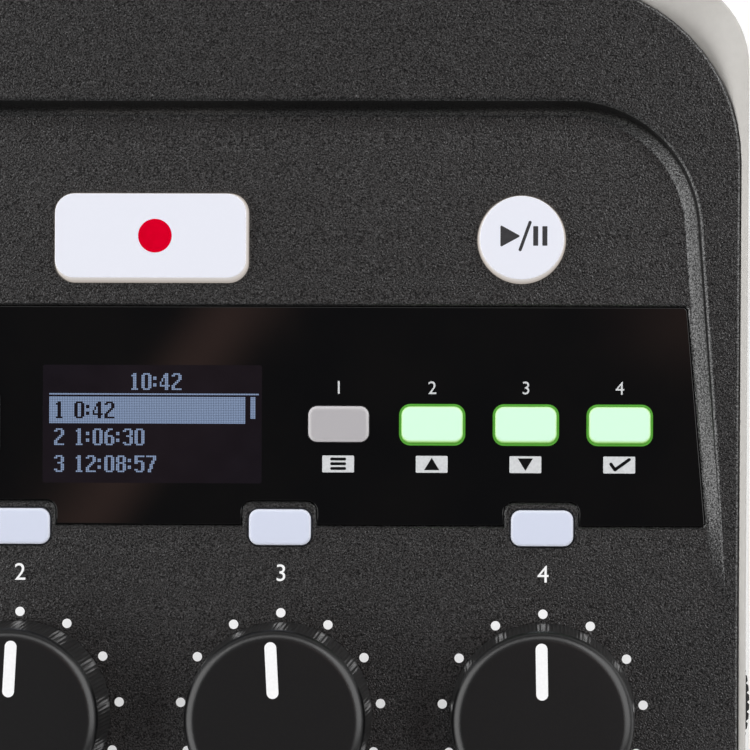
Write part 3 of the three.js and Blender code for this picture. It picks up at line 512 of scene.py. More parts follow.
# Painted light: the round edge is painted much lighter as a highlight, the foot of the sides darker as shade,
# and a faint painted glow.
key_grey = new_finish("grey_key", (181, 177, 182), 0.45)
glow(key_grey, [(0.0, (180, 177, 180)), (0.03, (184, 181, 183)), (0.12, (196, 193, 195)),
                (0.35, (212, 209, 211)), (0.7, (200, 196, 199)), (1.0, (150, 146, 150))], 0.01)

display_glow = new_finish("display_light", (150, 165, 190), 0.5)
mottle(display_glow, (20, 22, 26), (26, 28, 32), 4000)
shine(display_glow, (146, 168, 205), 0.75)

display_back = new_finish("display_back", (17, 13, 20), 0.12)
mottle(display_back, (15, 11, 18), (19, 15, 22), 200)

steel = new_finish("brushed_steel", (178, 180, 184), 0.3, metal=1.0)
mottle(steel, (168, 170, 174), (188, 190, 194), 700, stretch=(1, 6, 6))
grain(steel, 2500, 0.003)

gold = new_finish("gold_contact", (205, 168, 98), 0.28, metal=1.0)
mottle(gold, (196, 158, 90), (212, 176, 106), 900)

socket_black = new_finish("socket_black", (24, 24, 26), 0.4)
mottle(socket_black, (20, 20, 22), (29, 29, 31), 1200)
grain(socket_black, 4200, 0.01)

board_green = new_finish("circuit_board", (28, 70, 46), 0.45)
mottle(board_green, (22, 60, 38), (36, 82, 56), 260, 6.0, 0.05)

component_black = new_finish("component_black", (26, 26, 28), 0.5)
mottle(component_black, (22, 22, 24), (32, 32, 34), 900)

cell_sleeve = new_finish("cell_sleeve", (96, 104, 114), 0.3, coat=0.4)
mottle(cell_sleeve, (88, 96, 106), (106, 114, 124), 120)

rubber = new_finish("foot_rubber", (26, 26, 26), 0.85)
mottle(rubber, (22, 22, 22), (31, 31, 31), 1600)
grain(rubber, 3600, 0.03)


# Case and cover

CORNER_POINTS = 15
# The fold's two points in a plan ring stand after one corner and after three.
FOLD_RIGHT = CORNER_POINTS
FOLD_LEFT = 3 * CORNER_POINTS + 1


def plan_ring(inset, rear_radius, front_radius):
    """Plan of the body: four round corners, with a point on each side where the top folds."""
    x, front, rear = SIDE_X - inset, FRONT_Y + inset, REAR_Y - inset
    turn = np.linspace(0, math.pi / 2, CORNER_POINTS)
    fold = np.array([[x, RIM_START_Y]])

    def corner(cx, cy, radius, start):
        return np.stack([cx + radius * np.cos(start + turn), cy + radius * np.sin(start + turn)], -1)

    return np.concatenate([
        corner(x - front_radius, front + front_radius, front_radius, -math.pi / 2),
        fold,
        corner(x - rear_radius, rear - rear_radius, rear_radius, 0),
        corner(rear_radius - x, rear - rear_radius, rear_radius, math.pi / 2),
        fold * [-1, 1],
        corner(front_radius - x, front + front_radius, front_radius, math.pi),
    ])


def case_row(inset, height=None, drop=0.0):
    """A ring of the case's plan, level at height or that far under the top."""
    ring = plan_ring(inset, CASE_REAR_RADIUS - inset, CASE_FRONT_RADIUS - inset)
    z = top_z(ring[:, 1]) - drop if height is None else np.full(len(ring), height)
    return np.column_stack([ring, z])


def cover_row(inset, drop=0.0):
    """A ring of the cover's plan, that far under the top."""
    ring = plan_ring(COVER_INSET + inset, COVER_REAR_RADIUS - inset, COVER_FRONT_RADIUS - inset)
    return np.column_stack([ring, top_z(ring[:, 1]) - drop])


def dipped(row):
    """A row of the lip's inner edge, sunk at the rear corners by a share of how wide the lip is there."""
    share, plain_width, front_end = 0.46, 1.0, 20
    x, y = np.abs(row[:, 0]), row[:, 1]
    past_x, past_y = x - (SIDE_X - CASE_REAR_RADIUS), y - (REAR_Y - CASE_REAR_RADIUS)
    round_part = CASE_REAR_RADIUS - np.hypot(past_x, past_y)
    straight_part = np.minimum(SIDE_X - x, REAR_Y - y)
    width = np.where((past_x > 0) & (past_y > 0), round_part, straight_part)
    row[:, 2] -= share * np.where(y > front_end, np.maximum(0, width - plain_width), 0)
    return row


def case_shell():
    """A profile carried round the plan: bottom edge, wall, round lip, rebate, ledge and inner wall."""
    round_foot, round_lip = 2.2, 0.35
    turn = np.linspace(0, math.pi / 2, 7)
    foot = [case_row(round_foot * (1 - math.sin(a)), CASE_FOOT + round_foot * (1 - math.cos(a)))
            for a in turn]
    lip = [case_row(inset, drop=-height) for inset, height in quarter(round_lip, 0.0)]
    inner_lip = [dipped(cover_row(-SEAM - inset, drop)) for inset, drop in
                 ((0.34, 0), (0.22, 0.01), (0.12, 0.04), (0.04, 0.1), (0, 0.18))]
    rebate = COVER_THICKNESS + FIT
    inside = [
        cover_row(-SEAM, rebate),
        cover_row(LEDGE_WIDTH, rebate),
        cover_row(LEDGE_WIDTH, rebate + LEDGE_THICKNESS),
        case_row(CASE_WALL, drop=rebate + LEDGE_THICKNESS),
        case_row(CASE_WALL, CASE_FLOOR_TOP),
    ]
    return loft([*foot, *lip, *inner_lip, *inside])


def bore(radius, flare, count=40):
    """A round cut through a wall with a chamfered mouth: it opens to the outside from height 0."""
    wide = radius + flare + OVERRUN
    return turned([(0, BEYOND), (wide, BEYOND), (wide, OVERRUN), (radius, -flare), (radius, -BORE_DEPTH),
                   (0, -BORE_DEPTH)], count)


def slot_cut(outline, depth=BORE_DEPTH, flare=0.25):
    """A straight cut along an outline, with a chamfered mouth."""
    wide = -flare - OVERRUN
    return risen(outline, [(wide, BEYOND), (wide, OVERRUN), (0, -flare), (0, -depth)])


BAY_TOP, BAY_CUT_TOP = 19.8, 18.2
BOSS_RADIUS, BOSS_TOP = 3.8, 15.0
SCREW_HOLE = 2.8
bay_block = rounded_rect(65.9, 36.3, 3.6, 0, BAY_Y)
case_joins = [risen(bay_block, [(0, 2.5), (0, BAY_TOP)])]
case_joins += [risen(circle(BOSS_RADIUS, x, y, 24), [(0, 2.6), (0, BOSS_TOP)]) for x, y in SCREWS]

door_recess = rounded_rect(62.7, 33.1, 2.3, 0, BAY_Y)
case_cuts = [risen(door_recess, [(-0.22, 0.5), (-0.22, 1.48), (0, 1.7), (0, 3.4)])]
case_cuts += [risen(rounded_rect(104.6, 8.6, 4.3, 0, y), [(0, 0.5), (0, 2.5)]) for y in FEET_Y]
case_cuts += [risen(circle(SCREW_HOLE, x, y, 28), [(-1.2, 0.3), (0, 1.8), (0, 3.7)]) for x, y in SCREWS]
case_cuts += [moved(bore(MIC_BORE, 0.2, 64), to_rear(x, MIC_Z)) for x in CHANNELS]
case_cuts += [moved(bore(VOLUME_BORE, 0.2, 24), to_front(x, FRONT_AXIS_Z)) for x in VOLUME_COLUMNS]
case_cuts += [moved(bore(JACK_BORE, 0.35), to_front(x, FRONT_AXIS_Z)) for x in JACK_COLUMNS]
case_cuts += [
    moved(bore(JACK_BORE, 0.35), to_right(PHONE_Y, PHONE_Z)),
    moved(slot_cut(rounded_rect(9.5, 3.8, 1.85)), to_left(USB_Y, USB_Z)),
    moved(slot_cut(rounded_rect(12.0, 1.6, 0.5), flare=0.4), to_left(CARD_Y, CARD_Z)),
    moved(slot_cut(rounded_rect(20.6, 5.6, 0.9), 0.7, 0.15), to_right(SLIDER_Y - 2, SLIDER_Z)),
]
deep_cuts = [
    box_part((-BAY_HALF_LENGTH, BAY_Y - BAY_HALF_WIDTH, 2.6),
             (BAY_HALF_LENGTH, BAY_Y + BAY_HALF_WIDTH, BAY_CUT_TOP)),
    box_part((76.0, SLIDER_Y - 7.3, SLIDER_Z - 1.5), (79.2, SLIDER_Y + 3.3, SLIDER_Z + 1.5)),
]
add("case", [case_shell()], case_grey, stands_for=["base_shell"],
    cuts=[("UNION", case_joins), ("DIFFERENCE", case_cuts), ("DIFFERENCE", deep_cuts)])


def tray_ring():
    """The tray's outline on the panel, from its right front end round the rear to the left one: slanting
    sides and round corners."""
    lean = math.atan(TRAY_TAPER)
    radius = TRAY_CORNER_RADIUS
    centre_v = TRAY_REAR - radius
    centre_u = TRAY_HALF_WIDTH_AT_KNOBS - TRAY_TAPER * centre_v - radius / math.cos(lean)
    side_v = np.linspace(RIM_START, centre_v + radius * math.sin(lean), 14)[:-1]
    side_u = TRAY_HALF_WIDTH_AT_KNOBS - TRAY_TAPER * side_v
    angle = np.linspace(lean, math.pi / 2, 20)
    arc = np.stack([centre_u + radius * np.cos(angle), centre_v + radius * np.sin(angle)], -1)
    right = np.concatenate([np.stack([side_u, side_v], -1), arc])
    return np.concatenate([right, (right * [-1, 1])[::-1]])


def wall_height(way, height, sideways):
    """How high the tray's wall stands part of the way across: a soft foot, a gentle slope and a steep last
    part, which is short where the wall looks sideways and wider at the rear. The foot and slope follow the
    root of way squared plus soft squared, less soft, which comes to full at the end."""
    gentle_rise, gentle_share, soft, full = 1.35, 0.8, 0.15, 0.8612
    rear_power, side_power, side_from = 4, 40, 0.85
    gentle = np.minimum(gentle_rise, gentle_share * height)
    power = rear_power + (side_power - rear_power) * np.clip(sideways / side_from, 0, 1)**3
    return gentle * (np.sqrt(way**2 + soft**2) - soft) / full + (height - gentle) * way**power


def rim_edge(slope, radius):
    """How far a round edge reaches across and up from where the wall has that slope: a tight arc while it is
    steep, then a wide one up to level."""
    split = math.radians(40)
    tight, wide = 0.3 * radius, 1.6 * radius
    steep, shallow = np.maximum(slope, split), np.minimum(slope, split)
    across = tight * (np.sin(steep) - math.sin(split)) + wide * np.sin(shallow)
    up = tight * (math.cos(split) - np.cos(steep)) + wide * (1 - np.cos(shallow))
    return across, up


WALL_SHARES = (0, 0.05, 0.1, 0.16, 0.24, 0.34, 0.45, 0.56, 0.66, 0.75, 0.83, 0.88, 0.92, 0.95, 0.975, 1)
EDGE_SHARES = (0.85, 0.7, 0.55, 0.44, 0.33, 0.22, 0.11, 0)


def tray_wall():
    """Rows from the tray's foot up to its rim, with a round edge that takes the last slope to level.
    The wall's height at each point is the rim plane's, so it runs out to nothing at the fold."""
    path = tray_ring()
    into = inward_open(path)
    height = np.maximum(0, path[:, 1] - RIM_START) * math.tan(RISE)
    radius = np.minimum(RIM_EDGE_RADIUS, RIM_EDGE_SHARE * height)
    ways = np.linspace(0, 1, 1001)
    sideways = np.abs(into[:, 0])
    heights = wall_height(ways[:, None], height, sideways)
    slopes = np.arctan(np.gradient(heights, ways, axis=0) / TRAY_WALL_RUN)
    rounded = heights + rim_edge(slopes, radius)[1]
    end_at_fold = 0.9
    ends = [np.interp(top, column, ways) if top > 0 else end_at_fold
            for top, column in zip(height, rounded.T)]
    reach = np.array(ends)
    slope = np.array([np.interp(end, ways, column) for end, column in zip(ends, slopes.T)])
    rows = [(TRAY_WALL_RUN * (1 - share * reach), wall_height(share * reach, height, sideways))
            for share in WALL_SHARES]
    middle = TRAY_WALL_RUN * (1 - reach) - rim_edge(slope, radius)[0]
    for share in EDGE_SHARES:
        across, up = rim_edge(slope * share, radius)
        rows.append((middle + across, height - up))
    return [np.column_stack([path + into * inset[:, None], w]) for inset, w in rows]


def inward_open(path):
    """Unit directions into the tray along its open outline; at the front ends they run along the fold."""
    along = np.gradient(path, axis=0)
    along /= np.linalg.norm(along, axis=1)[:, None]
    into = np.stack([-along[:, 1], along[:, 0]], -1)
    into[0], into[-1] = (-1, 0), (1, 0)
    return into


def window_outline(grow=0.0):
    """The gloss strip: a trapezium with a round-cornered notch at each mute key, anticlockwise."""
    slope = (WINDOW_FRONT_HALF - WINDOW_REAR_HALF) / (WINDOW_REAR - WINDOW_FRONT)
    front, rear, corner = WINDOW_FRONT - grow, WINDOW_REAR + grow, 0.4
    front_half, rear_half = WINDOW_FRONT_HALF + grow * (1 + slope), WINDOW_REAR_HALF + grow * (1 - slope)
    half, top, radius = NOTCH_WIDTH / 2 - grow, WINDOW_FRONT + NOTCH_DEPTH - grow, NOTCH_RADIUS - grow
    turn = np.linspace(0, math.pi / 2, 7)
    left = np.stack([-half + radius - radius * np.cos(turn), top - radius + radius * np.sin(turn)], -1)
    right = (left * [-1, 1])[::-1]
    notch = np.concatenate([[[-half, front]], left, right, [[half, front]]])
    notches = [notch + [u + NOTCH_SHIFT, 0] for u in CHANNELS]
    ends = [[-front_half, front + corner], [-front_half + corner, front]]
    rest = [[front_half - corner, front], [front_half, front + corner], [rear_half, rear - corner],
            [rear_half - corner, rear], [-rear_half + corner, rear], [-rear_half, rear - corner]]
    return np.concatenate([ends, *notches, rest])


# Keys by name: outline at the panel, how proud, width and height of the round edge, lean of the sides (left,
# right, lower, upper), finish and slot. A side's lean is how far its upper edge stands inside its foot.
UPRIGHT = (0, 0, 0, 0)
LIT_LEAN = (0.04, 0.04, 0.26, 0.04)
BUTTON_EDGE = (0.16, 0.16)
ROUND_BUTTON_U, ROUND_BUTTON_RADIUS = 49.5, 5.8
KEY_SHAPES = {
    "record_button": (rounded_rect(25.9, 11.8, 2.6, 0.0, RECORD_ROW - 0.25, 8), BUTTON_PROUD, BUTTON_EDGE,
                      (0.16, 0.16, 0.5, 0.06), white_key, "key_white"),
    "stop_button": (circle(ROUND_BUTTON_RADIUS, -ROUND_BUTTON_U, RECORD_ROW - 0.4, 72), BUTTON_PROUD,
                    BUTTON_EDGE, (0.14, 0.24, 0.42, 0.05), white_key, "key_white"),
    "play_button": (circle(ROUND_BUTTON_RADIUS, ROUND_BUTTON_U, RECORD_ROW - 0.4, 72), BUTTON_PROUD,
                    BUTTON_EDGE, (0.24, 0.14, 0.42, 0.05), white_key, "key_white"),
    "menu_key": (rounded_rect(8.12, 4.8, 1.2, KEY_COLUMNS[0], FUNCTION_ROW), KEY_PROUD, (0.6, 0.3), UPRIGHT,
                 key_grey, "key_grey"),
}
LIT_KEYS = ("tone_key", "compressor_key", "noise_key")
for i, label in enumerate(LIT_KEYS):
    shape = rounded_rect(8.25, 4.95, 1.2, KEY_COLUMNS[i + 1], FUNCTION_ROW - 0.05)
    KEY_SHAPES[label] = (shape, KEY_PROUD, (0.3, 0.2), LIT_LEAN, key_green, "key_green")
for i in range(4):
    shape = rounded_rect(9.4, 9.4, 1.4, -KEY_COLUMNS[3 - i], FUNCTION_ROW)
    KEY_SHAPES[f"sound_pad_{i + 1}"] = (shape, PAD_PROUD, (0.5, 0.3), UPRIGHT, pad_white, "key_white")
for i in range(4):
    shape = rounded_rect(8.3, 4.8, 1.3, CHANNELS[i] - 0.15, MUTE_ROW)
    KEY_SHAPES[f"mute_button_{i + 1}"] = (shape, KEY_PROUD, (0.45, 0.28), UPRIGHT, mute_white, "key_white")


def round_key(label, gap):
    """A key's outline, wider by the gap round it."""
    return inward(KEY_SHAPES[label][0], -gap)


def panel_risen(outline, profile):
    """Rings of an outline on the panel, with their heights measured out of it."""
    return moved(risen(outline, profile), on_panel)


def panel_cut(outline, mouth, depth, flare):
    """A cut straight down through the panel from the height mouth, with a chamfered mouth."""
    wide = -flare - OVERRUN
    profile = [(wide, mouth + BEYOND), (wide, mouth + OVERRUN), (0, mouth - flare), (0, depth)]
    return panel_risen(outline, profile)


UNDERSIDE_DROP = 0.2


def cover():
    """The cover's skin: outer edge rings, the panel and tray floor as one flat face, the tray's wall, the rim
    as another flat face, and an underside parallel to the panel."""
    edge = [cover_row(inset, -height) for inset, height in quarter(0.48, 0.0, 6)][::-1]
    edge += [cover_row(0, COVER_THICKNESS), cover_row(LEDGE_WIDTH + FIT, COVER_THICKNESS)]
    last = cover_row(LEDGE_WIDTH + FIT, 0.0)
    last[:, 2] = PANEL_HEIGHT + (last[:, 1] - KNOB_ROW_Y) * math.tan(TILT) - COVER_THICKNESS - UNDERSIDE_DROP
    rings = [*edge, last]
    wall = [on_panel(row) for row in tray_wall()]
    right_end = np.array([row[0] for row in wall])
    left_end = np.array([row[-1] for row in wall])
    outer = edge[0]
    floor = np.concatenate([
        right_end[::-1], wall[0][1:-1], left_end, outer[FOLD_LEFT:], outer[: FOLD_RIGHT + 1],
    ])
    rim = np.concatenate([outer[FOLD_RIGHT : FOLD_LEFT + 1], wall[-1][::-1]])
    return [loft(rings, caps=(False, True)), strip(wall), flat_face(floor), flat_face(rim)]


PANEL_THROUGH = -6.0
WINDOW_PLAY, WINDOW_SEAT = 0.06, -1.65
STEM_HOLE = 3.3
window_keys = [label for label in KEY_SHAPES if label.startswith("sound") or label.endswith("_key")]
cover_keys = [label for label in KEY_SHAPES if label not in window_keys]
shallow = [panel_cut(window_outline(WINDOW_PLAY), 0.0, WINDOW_SEAT, 0.3)]
through = [panel_cut(round_key(label, GAP), 0.0, PANEL_THROUGH, 0.12) for label in cover_keys]
through += [panel_risen(round_key(label, FIT), [(0, -1.4), (0, PANEL_THROUGH)]) for label in window_keys]
through += [panel_risen(circle(STEM_HOLE, u, 0, 24), [(0, 1.0), (0, PANEL_THROUGH)]) for u in CHANNELS]
add("cover", cover(), cover_black, stands_for=["top_cover"],
    cuts=[("DIFFERENCE", shallow), ("DIFFERENCE", through)])

# Gloss strip and display
strip_foot = WINDOW_TOP - WINDOW_THICKNESS
strip_profile = [(0, strip_foot), (0, WINDOW_TOP - 0.14), (0.03, WINDOW_TOP - 0.06),
                 (0.09, WINDOW_TOP - 0.015), (0.16, WINDOW_TOP)]
key_gaps = {label: LIGHT_GAP if label in LIT_KEYS else GAP for label in window_keys}
key_holes = [panel_cut(round_key(label, gap), WINDOW_TOP, strip_foot - BEYOND, 0.06)
             for label, gap in key_gaps.items()]
add("gloss_strip", [panel_risen(window_outline(), strip_profile)], gloss_black,
    stands_for=["display_window"], cuts=[("DIFFERENCE", key_holes)])

# Rows of each digit on the display, six dots wide and ten high, as the bits of a number.
DIGIT_ROWS = {
    "0": (30, 51, 51, 51, 51, 51, 51, 51, 51, 30), "1": (12, 28, 12, 12, 12, 12, 12, 12, 12, 30),
    "2": (30, 51, 3, 3, 6, 12, 24, 48, 48, 63), "3": (30, 51, 3, 3, 14, 3, 3, 3, 51, 30),
    "4": (6, 14, 14, 22, 22, 38, 38, 63, 6, 6), "5": (63, 48, 48, 62, 51, 3, 3, 3, 51, 30),
    "6": (14, 24, 48, 48, 62, 51, 51, 51, 51, 30), "7": (63, 3, 3, 6, 6, 12, 12, 12, 24, 24),
    "8": (30, 51, 51, 51, 30, 51, 51, 51, 51, 30), "9": (30, 51, 51, 51, 51, 31, 3, 3, 6, 28),
}
DISPLAY_LEFT, DISPLAY_REAR = -13.92, 46.1
DOT_PITCH, DOT_FILL = 0.2251, 0.84


def write_digits(dots, text, row, column, lit=True):
    """Draws digits into the display's grid of dots, with the top left corner at (row, column)."""
    for sign in text:
        if sign == ":":
            for down in (2, 6):
                dots[row + down : row + down + 2, column : column + 2] = lit
            column += 4
        elif sign == " ":
            column += 5
        else:
            bits = np.array(DIGIT_ROWS[sign])[:, None] >> np.arange(5, -1, -1) & 1
            dots[row : row + 10, column : column + 6][bits == 1] = lit
            column += 7


def display_dots():
    """The display's lit dots: a time, a line, a lit bar with dark digits, a scroll mark and two more rows."""
    dots = np.zeros((66, 128), bool)
    write_digits(dots, "10:42", 3, 49)
    dots[15, 1:126] = True
    dots[17:33, 1:118] = True
    write_digits(dots, "1 0:42", 20, 4, lit=False)
    dots[17:30, 121:124] = True
    write_digits(dots, "2 1:06:30", 36, 4)
    write_digits(dots, "3 12:08:57", 52, 4)
    return dots


def dot_sheets(dots, w):
    """A small flat square for every lit dot, as whole arrays."""
    row, column = np.nonzero(dots)
    middle = np.stack([DISPLAY_LEFT + (column + 0.5) * DOT_PITCH, DISPLAY_REAR - (row + 0.5) * DOT_PITCH], -1)
    square = np.array([[-0.5, -0.5], [0.5, -0.5], [0.5, 0.5], [-0.5, 0.5]]) * DOT_PITCH * DOT_FILL
    corners = (middle[:, None] + square).reshape(-1, 2)
    return on_panel(level(corners, w)), [np.arange(len(corners)).reshape(-1, 4)]


display_profile = [(0, WINDOW_TOP + 0.004), (0.02, WINDOW_TOP + 0.008)]
display_outline = rounded_rect(29.4, 15.8, 0.3, 0.15, DISPLAY_ROW - 0.28, 3)
add("display_field", [panel_risen(display_outline, display_profile)], display_back)
add("display_dots", [dot_sheets(display_dots(), WINDOW_TOP + 0.02)], display_glow)


# Keys

FLANGE, FLANGE_THICKNESS = 0.7, 0.8
EDGE_DEPTH = 0.35


def key_part(outline, proud, edge, lean):
    """A key: flange under the cover, sides that lean in by their own amounts, and a round edge onto the top.
    A side's lean grows with the height over the panel and with how near that side a point lies."""
    foot = -COVER_THICKNESS - FIT - FLANGE_THICKNESS
    wide, high = edge
    profile = [(-FLANGE, foot), (-FLANGE, foot + FLANGE_THICKNESS), (0, foot + FLANGE_THICKNESS), (0, 0)]
    profile += [(inset * wide / high, height) for inset, height in quarter(high, proud, 8)]
    profile.append((wide + 0.3, proud))
    points, groups = risen(outline, profile)
    left, right, lower, upper = lean
    (u0, v0), (u1, v1) = outline.min(0), outline.max(0)
    across = (points[:, 0] * 2 - u0 - u1) / (u1 - u0)
    along = (points[:, 1] * 2 - v0 - v1) / (v1 - v0)
    rise = np.clip(points[:, 2] / proud, 0, 1)
    points[:, 0] += rise * np.where(across > 0, -right * across, -left * across)
    points[:, 1] += rise * np.where(along > 0, -upper * along, -lower * along)
    return moved((points, groups), on_panel)


def mark_edges(piece, proud):
    """Writes the attribute edge: 0 on the key's top and 1 from EDGE_DEPTH under it, so that the finish can
    tell the round edge and the sides from the top. It carries a lit key's backlight and the other keys'
    painted highlight, painted shade and painted glow."""
    points = points_of(piece.data) / MM
    w = (points[:, 2] - PANEL_HEIGHT) * math.cos(TILT) - (points[:, 1] - KNOB_ROW_Y) * math.sin(TILT)
    edge = np.clip((proud - w) / EDGE_DEPTH, 0, 1)
    piece.data.attributes.new("edge", "FLOAT", "POINT").data.foreach_set("value", edge)


for label, (outline, proud, edge, lean, finish, slot) in KEY_SHAPES.items():
    key = add(label + "_cap", [key_part(outline, proud, edge, lean)], finish, body=label,
              stands_for=[label], crease=30)
    mark_edges(key, proud)


def light_ring(outline):
    """A ring in the gap round a lit key, just under the gloss face."""
    outer, inner = inward(outline, 0.01 - LIGHT_GAP), inward(outline, -0.04)
    low, high = WINDOW_TOP - 0.5, WINDOW_TOP - 0.1
    rings = [(outer, low), (outer, high), (inner, high), (inner, low), (outer, low)]
    return moved(loft([level(ring, w) for ring, w in rings], caps=(False, False)), on_panel)


add("key_lights", [light_ring(KEY_SHAPES[label][0]) for label in LIT_KEYS], green_light)


def plate(outline, w, place=on_panel):
    """Ink as a very thin closed plate on a flat face at the height w."""
    return moved(risen(np.asarray(outline, float), [(0, w - INK), (0, w + INK)]), place)


def bar(start, end, width):
    """A straight bar with round ends between two points."""
    start, end = np.array(start, float), np.array(end, float)
    along = math.atan2(*(end - start)[::-1])
    turn = np.linspace(-math.pi / 2, math.pi / 2, 8)
    cap = np.stack([np.cos(along + turn), np.sin(along + turn)], -1) * width / 2
    return np.concatenate([end + cap, start - cap])


def round_triangle(u, v, width, height, radius):
    """A triangle pointing right with round corners, centred on its bounding box."""
    tip, lower, upper = np.array([[width / 2, 0], [-width / 2, -height / 2], [-width / 2, height / 2]])
    half = math.atan2(height / 2, width)
    rising = math.pi / 2 - half
    outline = []
    for corner, start, end in ((tip, -rising, rising), (upper, rising, math.pi),
                               (lower, math.pi, 1.5 * math.pi + half)):
        angle = np.linspace(start, end, 5)
        toward = -corner / np.linalg.norm(corner)
        arc = radius * np.stack([np.cos(angle), np.sin(angle)], -1)
        outline.append(corner + toward * radius * 1.8 + arc)
    return np.concatenate(outline) + [u, v]


add("record_dot", [plate(circle(2.25, 0.6, RECORD_ROW - 0.04, 64), BUTTON_PROUD)], red_dot,
    body="record_button")
play_u, play_v = 49.6, RECORD_ROW
play_outlines = [
    round_triangle(play_u - 1.6, play_v, 2.68, 2.85, 0.14),
    bar((play_u - 0.28, play_v - 1.82), (play_u + 1.03, play_v + 1.82), 0.42),
    rounded_rect(0.66, 2.6, 0.08, play_u + 1.78, play_v + 0.02, 2),
    rounded_rect(0.66, 2.6, 0.08, play_u + 3.0, play_v + 0.02, 2),
]
add("play_sign", [plate(outline, BUTTON_PROUD) for outline in play_outlines], icon_ink,
    body="play_button")
add("stop_sign", [plate(rounded_rect(3.0, 3.0, 0.15, -play_u, play_v, 2), BUTTON_PROUD)], icon_ink,
    body="stop_button")


TEXT_EXTRUDE = 0.01


def text_part(text, cap_height, place, lift=0.0):
    """Digits in the plain built-in face as a thin closed plate, scaled to their height, centred at 0 and
    lifted to the face that they are printed on."""
    curve = bpy.data.curves.new("digits", "FONT")
    curve.body = text
    curve.extrude = TEXT_EXTRUDE
    curve.resolution_u = 6
    holder = new_object("digits", curve)
    mesh = worked_out(holder)
    points = points_of(mesh)
    low, high = points.min(0), points.max(0)
    scale = cap_height / (high[1] - low[1])
    points[:, :2] = (points[:, :2] - ((low + high) / 2)[:2]) * scale
    points[:, 2] *= INK / TEXT_EXTRUDE
    corners = np.zeros(len(mesh.loops), int)
    mesh.loops.foreach_get("vertex_index", corners)
    starts = np.zeros(len(mesh.polygons), int)
    mesh.polygons.foreach_get("loop_start", starts)
    groups = [np.array(face)[None] for face in np.split(corners, starts[1:])]
    bpy.data.objects.remove(holder)
    return place(points + [0, 0, lift]), groups


# Prints on the panel
DOT_CIRCLE, DOT_RADIUS, DOT_DEGREES = 13.45, 0.63, 28
dot_angles = np.radians(90 + DOT_DEGREES * np.arange(-5, 6))
knob_dots = [plate(circle(DOT_RADIUS, u + DOT_CIRCLE * math.cos(a), DOT_CIRCLE * math.sin(a), 20), 0.0)
             for u in CHANNELS for a in dot_angles]
CHANNEL_NUMBER_HEIGHT, CHANNEL_NUMBER_ROW = 2.24, 18.8
channel_numbers = [text_part(str(i + 1), CHANNEL_NUMBER_HEIGHT, panel_place(u, CHANNEL_NUMBER_ROW))
                   for i, u in enumerate(CHANNELS)]
add("knob_dots", knob_dots, print_white_painted_glow)
add("channel_numbers", channel_numbers, print_white_painted_glow)

KEY_NUMBER_HEIGHT, KEY_NUMBER_ROW, PAD_NUMBER_ROW = 1.7, 43.6, 46.6
key_numbers = []
for i, u in enumerate(KEY_COLUMNS):
    for number, column, row in ((i + 1, u, KEY_NUMBER_ROW), (4 - i, -u, PAD_NUMBER_ROW)):
        key_numbers.append(text_part(str(number), KEY_NUMBER_HEIGHT, panel_place(column, row), WINDOW_TOP))
add("key_numbers", key_numbers, print_grey)

badge_row, badge_shift, stroke = 33.4, -0.05, 0.42
badges = [plate(rounded_rect(4.25, 2.25, 0.12, u + badge_shift, badge_row - 0.03, 3), WINDOW_TOP)
          for u in KEY_COLUMNS]
add("key_badges", badges, print_grey)
menu_u, up_u, down_u, tick_u = KEY_COLUMNS
sign_outlines = [rounded_rect(2.1, 0.38, 0.15, menu_u + badge_shift, badge_row + 0.63 * k, 2)
                 for k in (-1, 0, 1)]
for u, way in ((up_u, 1), (down_u, -1)):
    arrow = np.array([[-1.0, -0.8], [1.0, -0.8], [0, 0.84]]) * [way, way]
    sign_outlines.append(arrow + [u + badge_shift, badge_row])
tick = np.array([(-1.15, 0.08), (-0.62, -0.66), (1.28, 0.7)]) + [tick_u, badge_row]
sign_outlines += [bar(tick[0], tick[1], stroke), bar(tick[1], tick[2], stroke)]
add("badge_signs", [plate(outline, WINDOW_TOP + 0.03) for outline in sign_outlines], sign_ink)


# Knobs

KNOB_RING_SLOPE = math.radians(34)
KNOB_RIBS = 144


def gain_knob_part():
    """A turned cap: stem, foot, ribbed side leaning in a little, a round edge in two arcs, the upper one
    wider, and a flat face."""
    edge_width, ring_width = 0.5, 1.0
    outer = edge_width / (1 - math.sin(KNOB_RING_SLOPE))
    inner = ring_width / math.sin(KNOB_RING_SLOPE)
    drop = inner * (1 - math.cos(KNOB_RING_SLOPE))
    high = KNOB_TOP - drop - outer * math.cos(KNOB_RING_SLOPE)
    lean = (KNOB_RADIUS - KNOB_TOP_RADIUS) / (high - KNOB_FOOT)
    low = KNOB_FOOT + 0.35
    foot = [(3.0, -5.0), (3.0, KNOB_FOOT), (KNOB_RADIUS - 0.35, KNOB_FOOT),
            (KNOB_RADIUS - 0.06, KNOB_FOOT + 0.12)]
    side = [(KNOB_RADIUS - lean * (z - KNOB_FOOT), z) for z in (low, low + 0.25, low + 5, high - 0.3, high)]
    tight_turn = np.linspace(0, math.pi / 2 - KNOB_RING_SLOPE, 7)[1:]
    edge = [(KNOB_TOP_RADIUS - outer * (1 - math.cos(a)), high + outer * math.sin(a)) for a in tight_turn]
    face = KNOB_TOP_RADIUS - edge_width - ring_width
    wide_turn = np.linspace(KNOB_RING_SLOPE, 0, 9)[1:]
    edge += [(face + inner * math.sin(a), KNOB_TOP - inner * (1 - math.cos(a))) for a in wide_turn]
    profile = [*foot, *side, *edge, (6.0, KNOB_TOP - 0.004), (0, KNOB_TOP - 0.006)]
    return turned(profile, 6 * KNOB_RIBS, ribs=KNOB_RIBS, rib_depth=0.07, ribbed=(5, 6, 7))


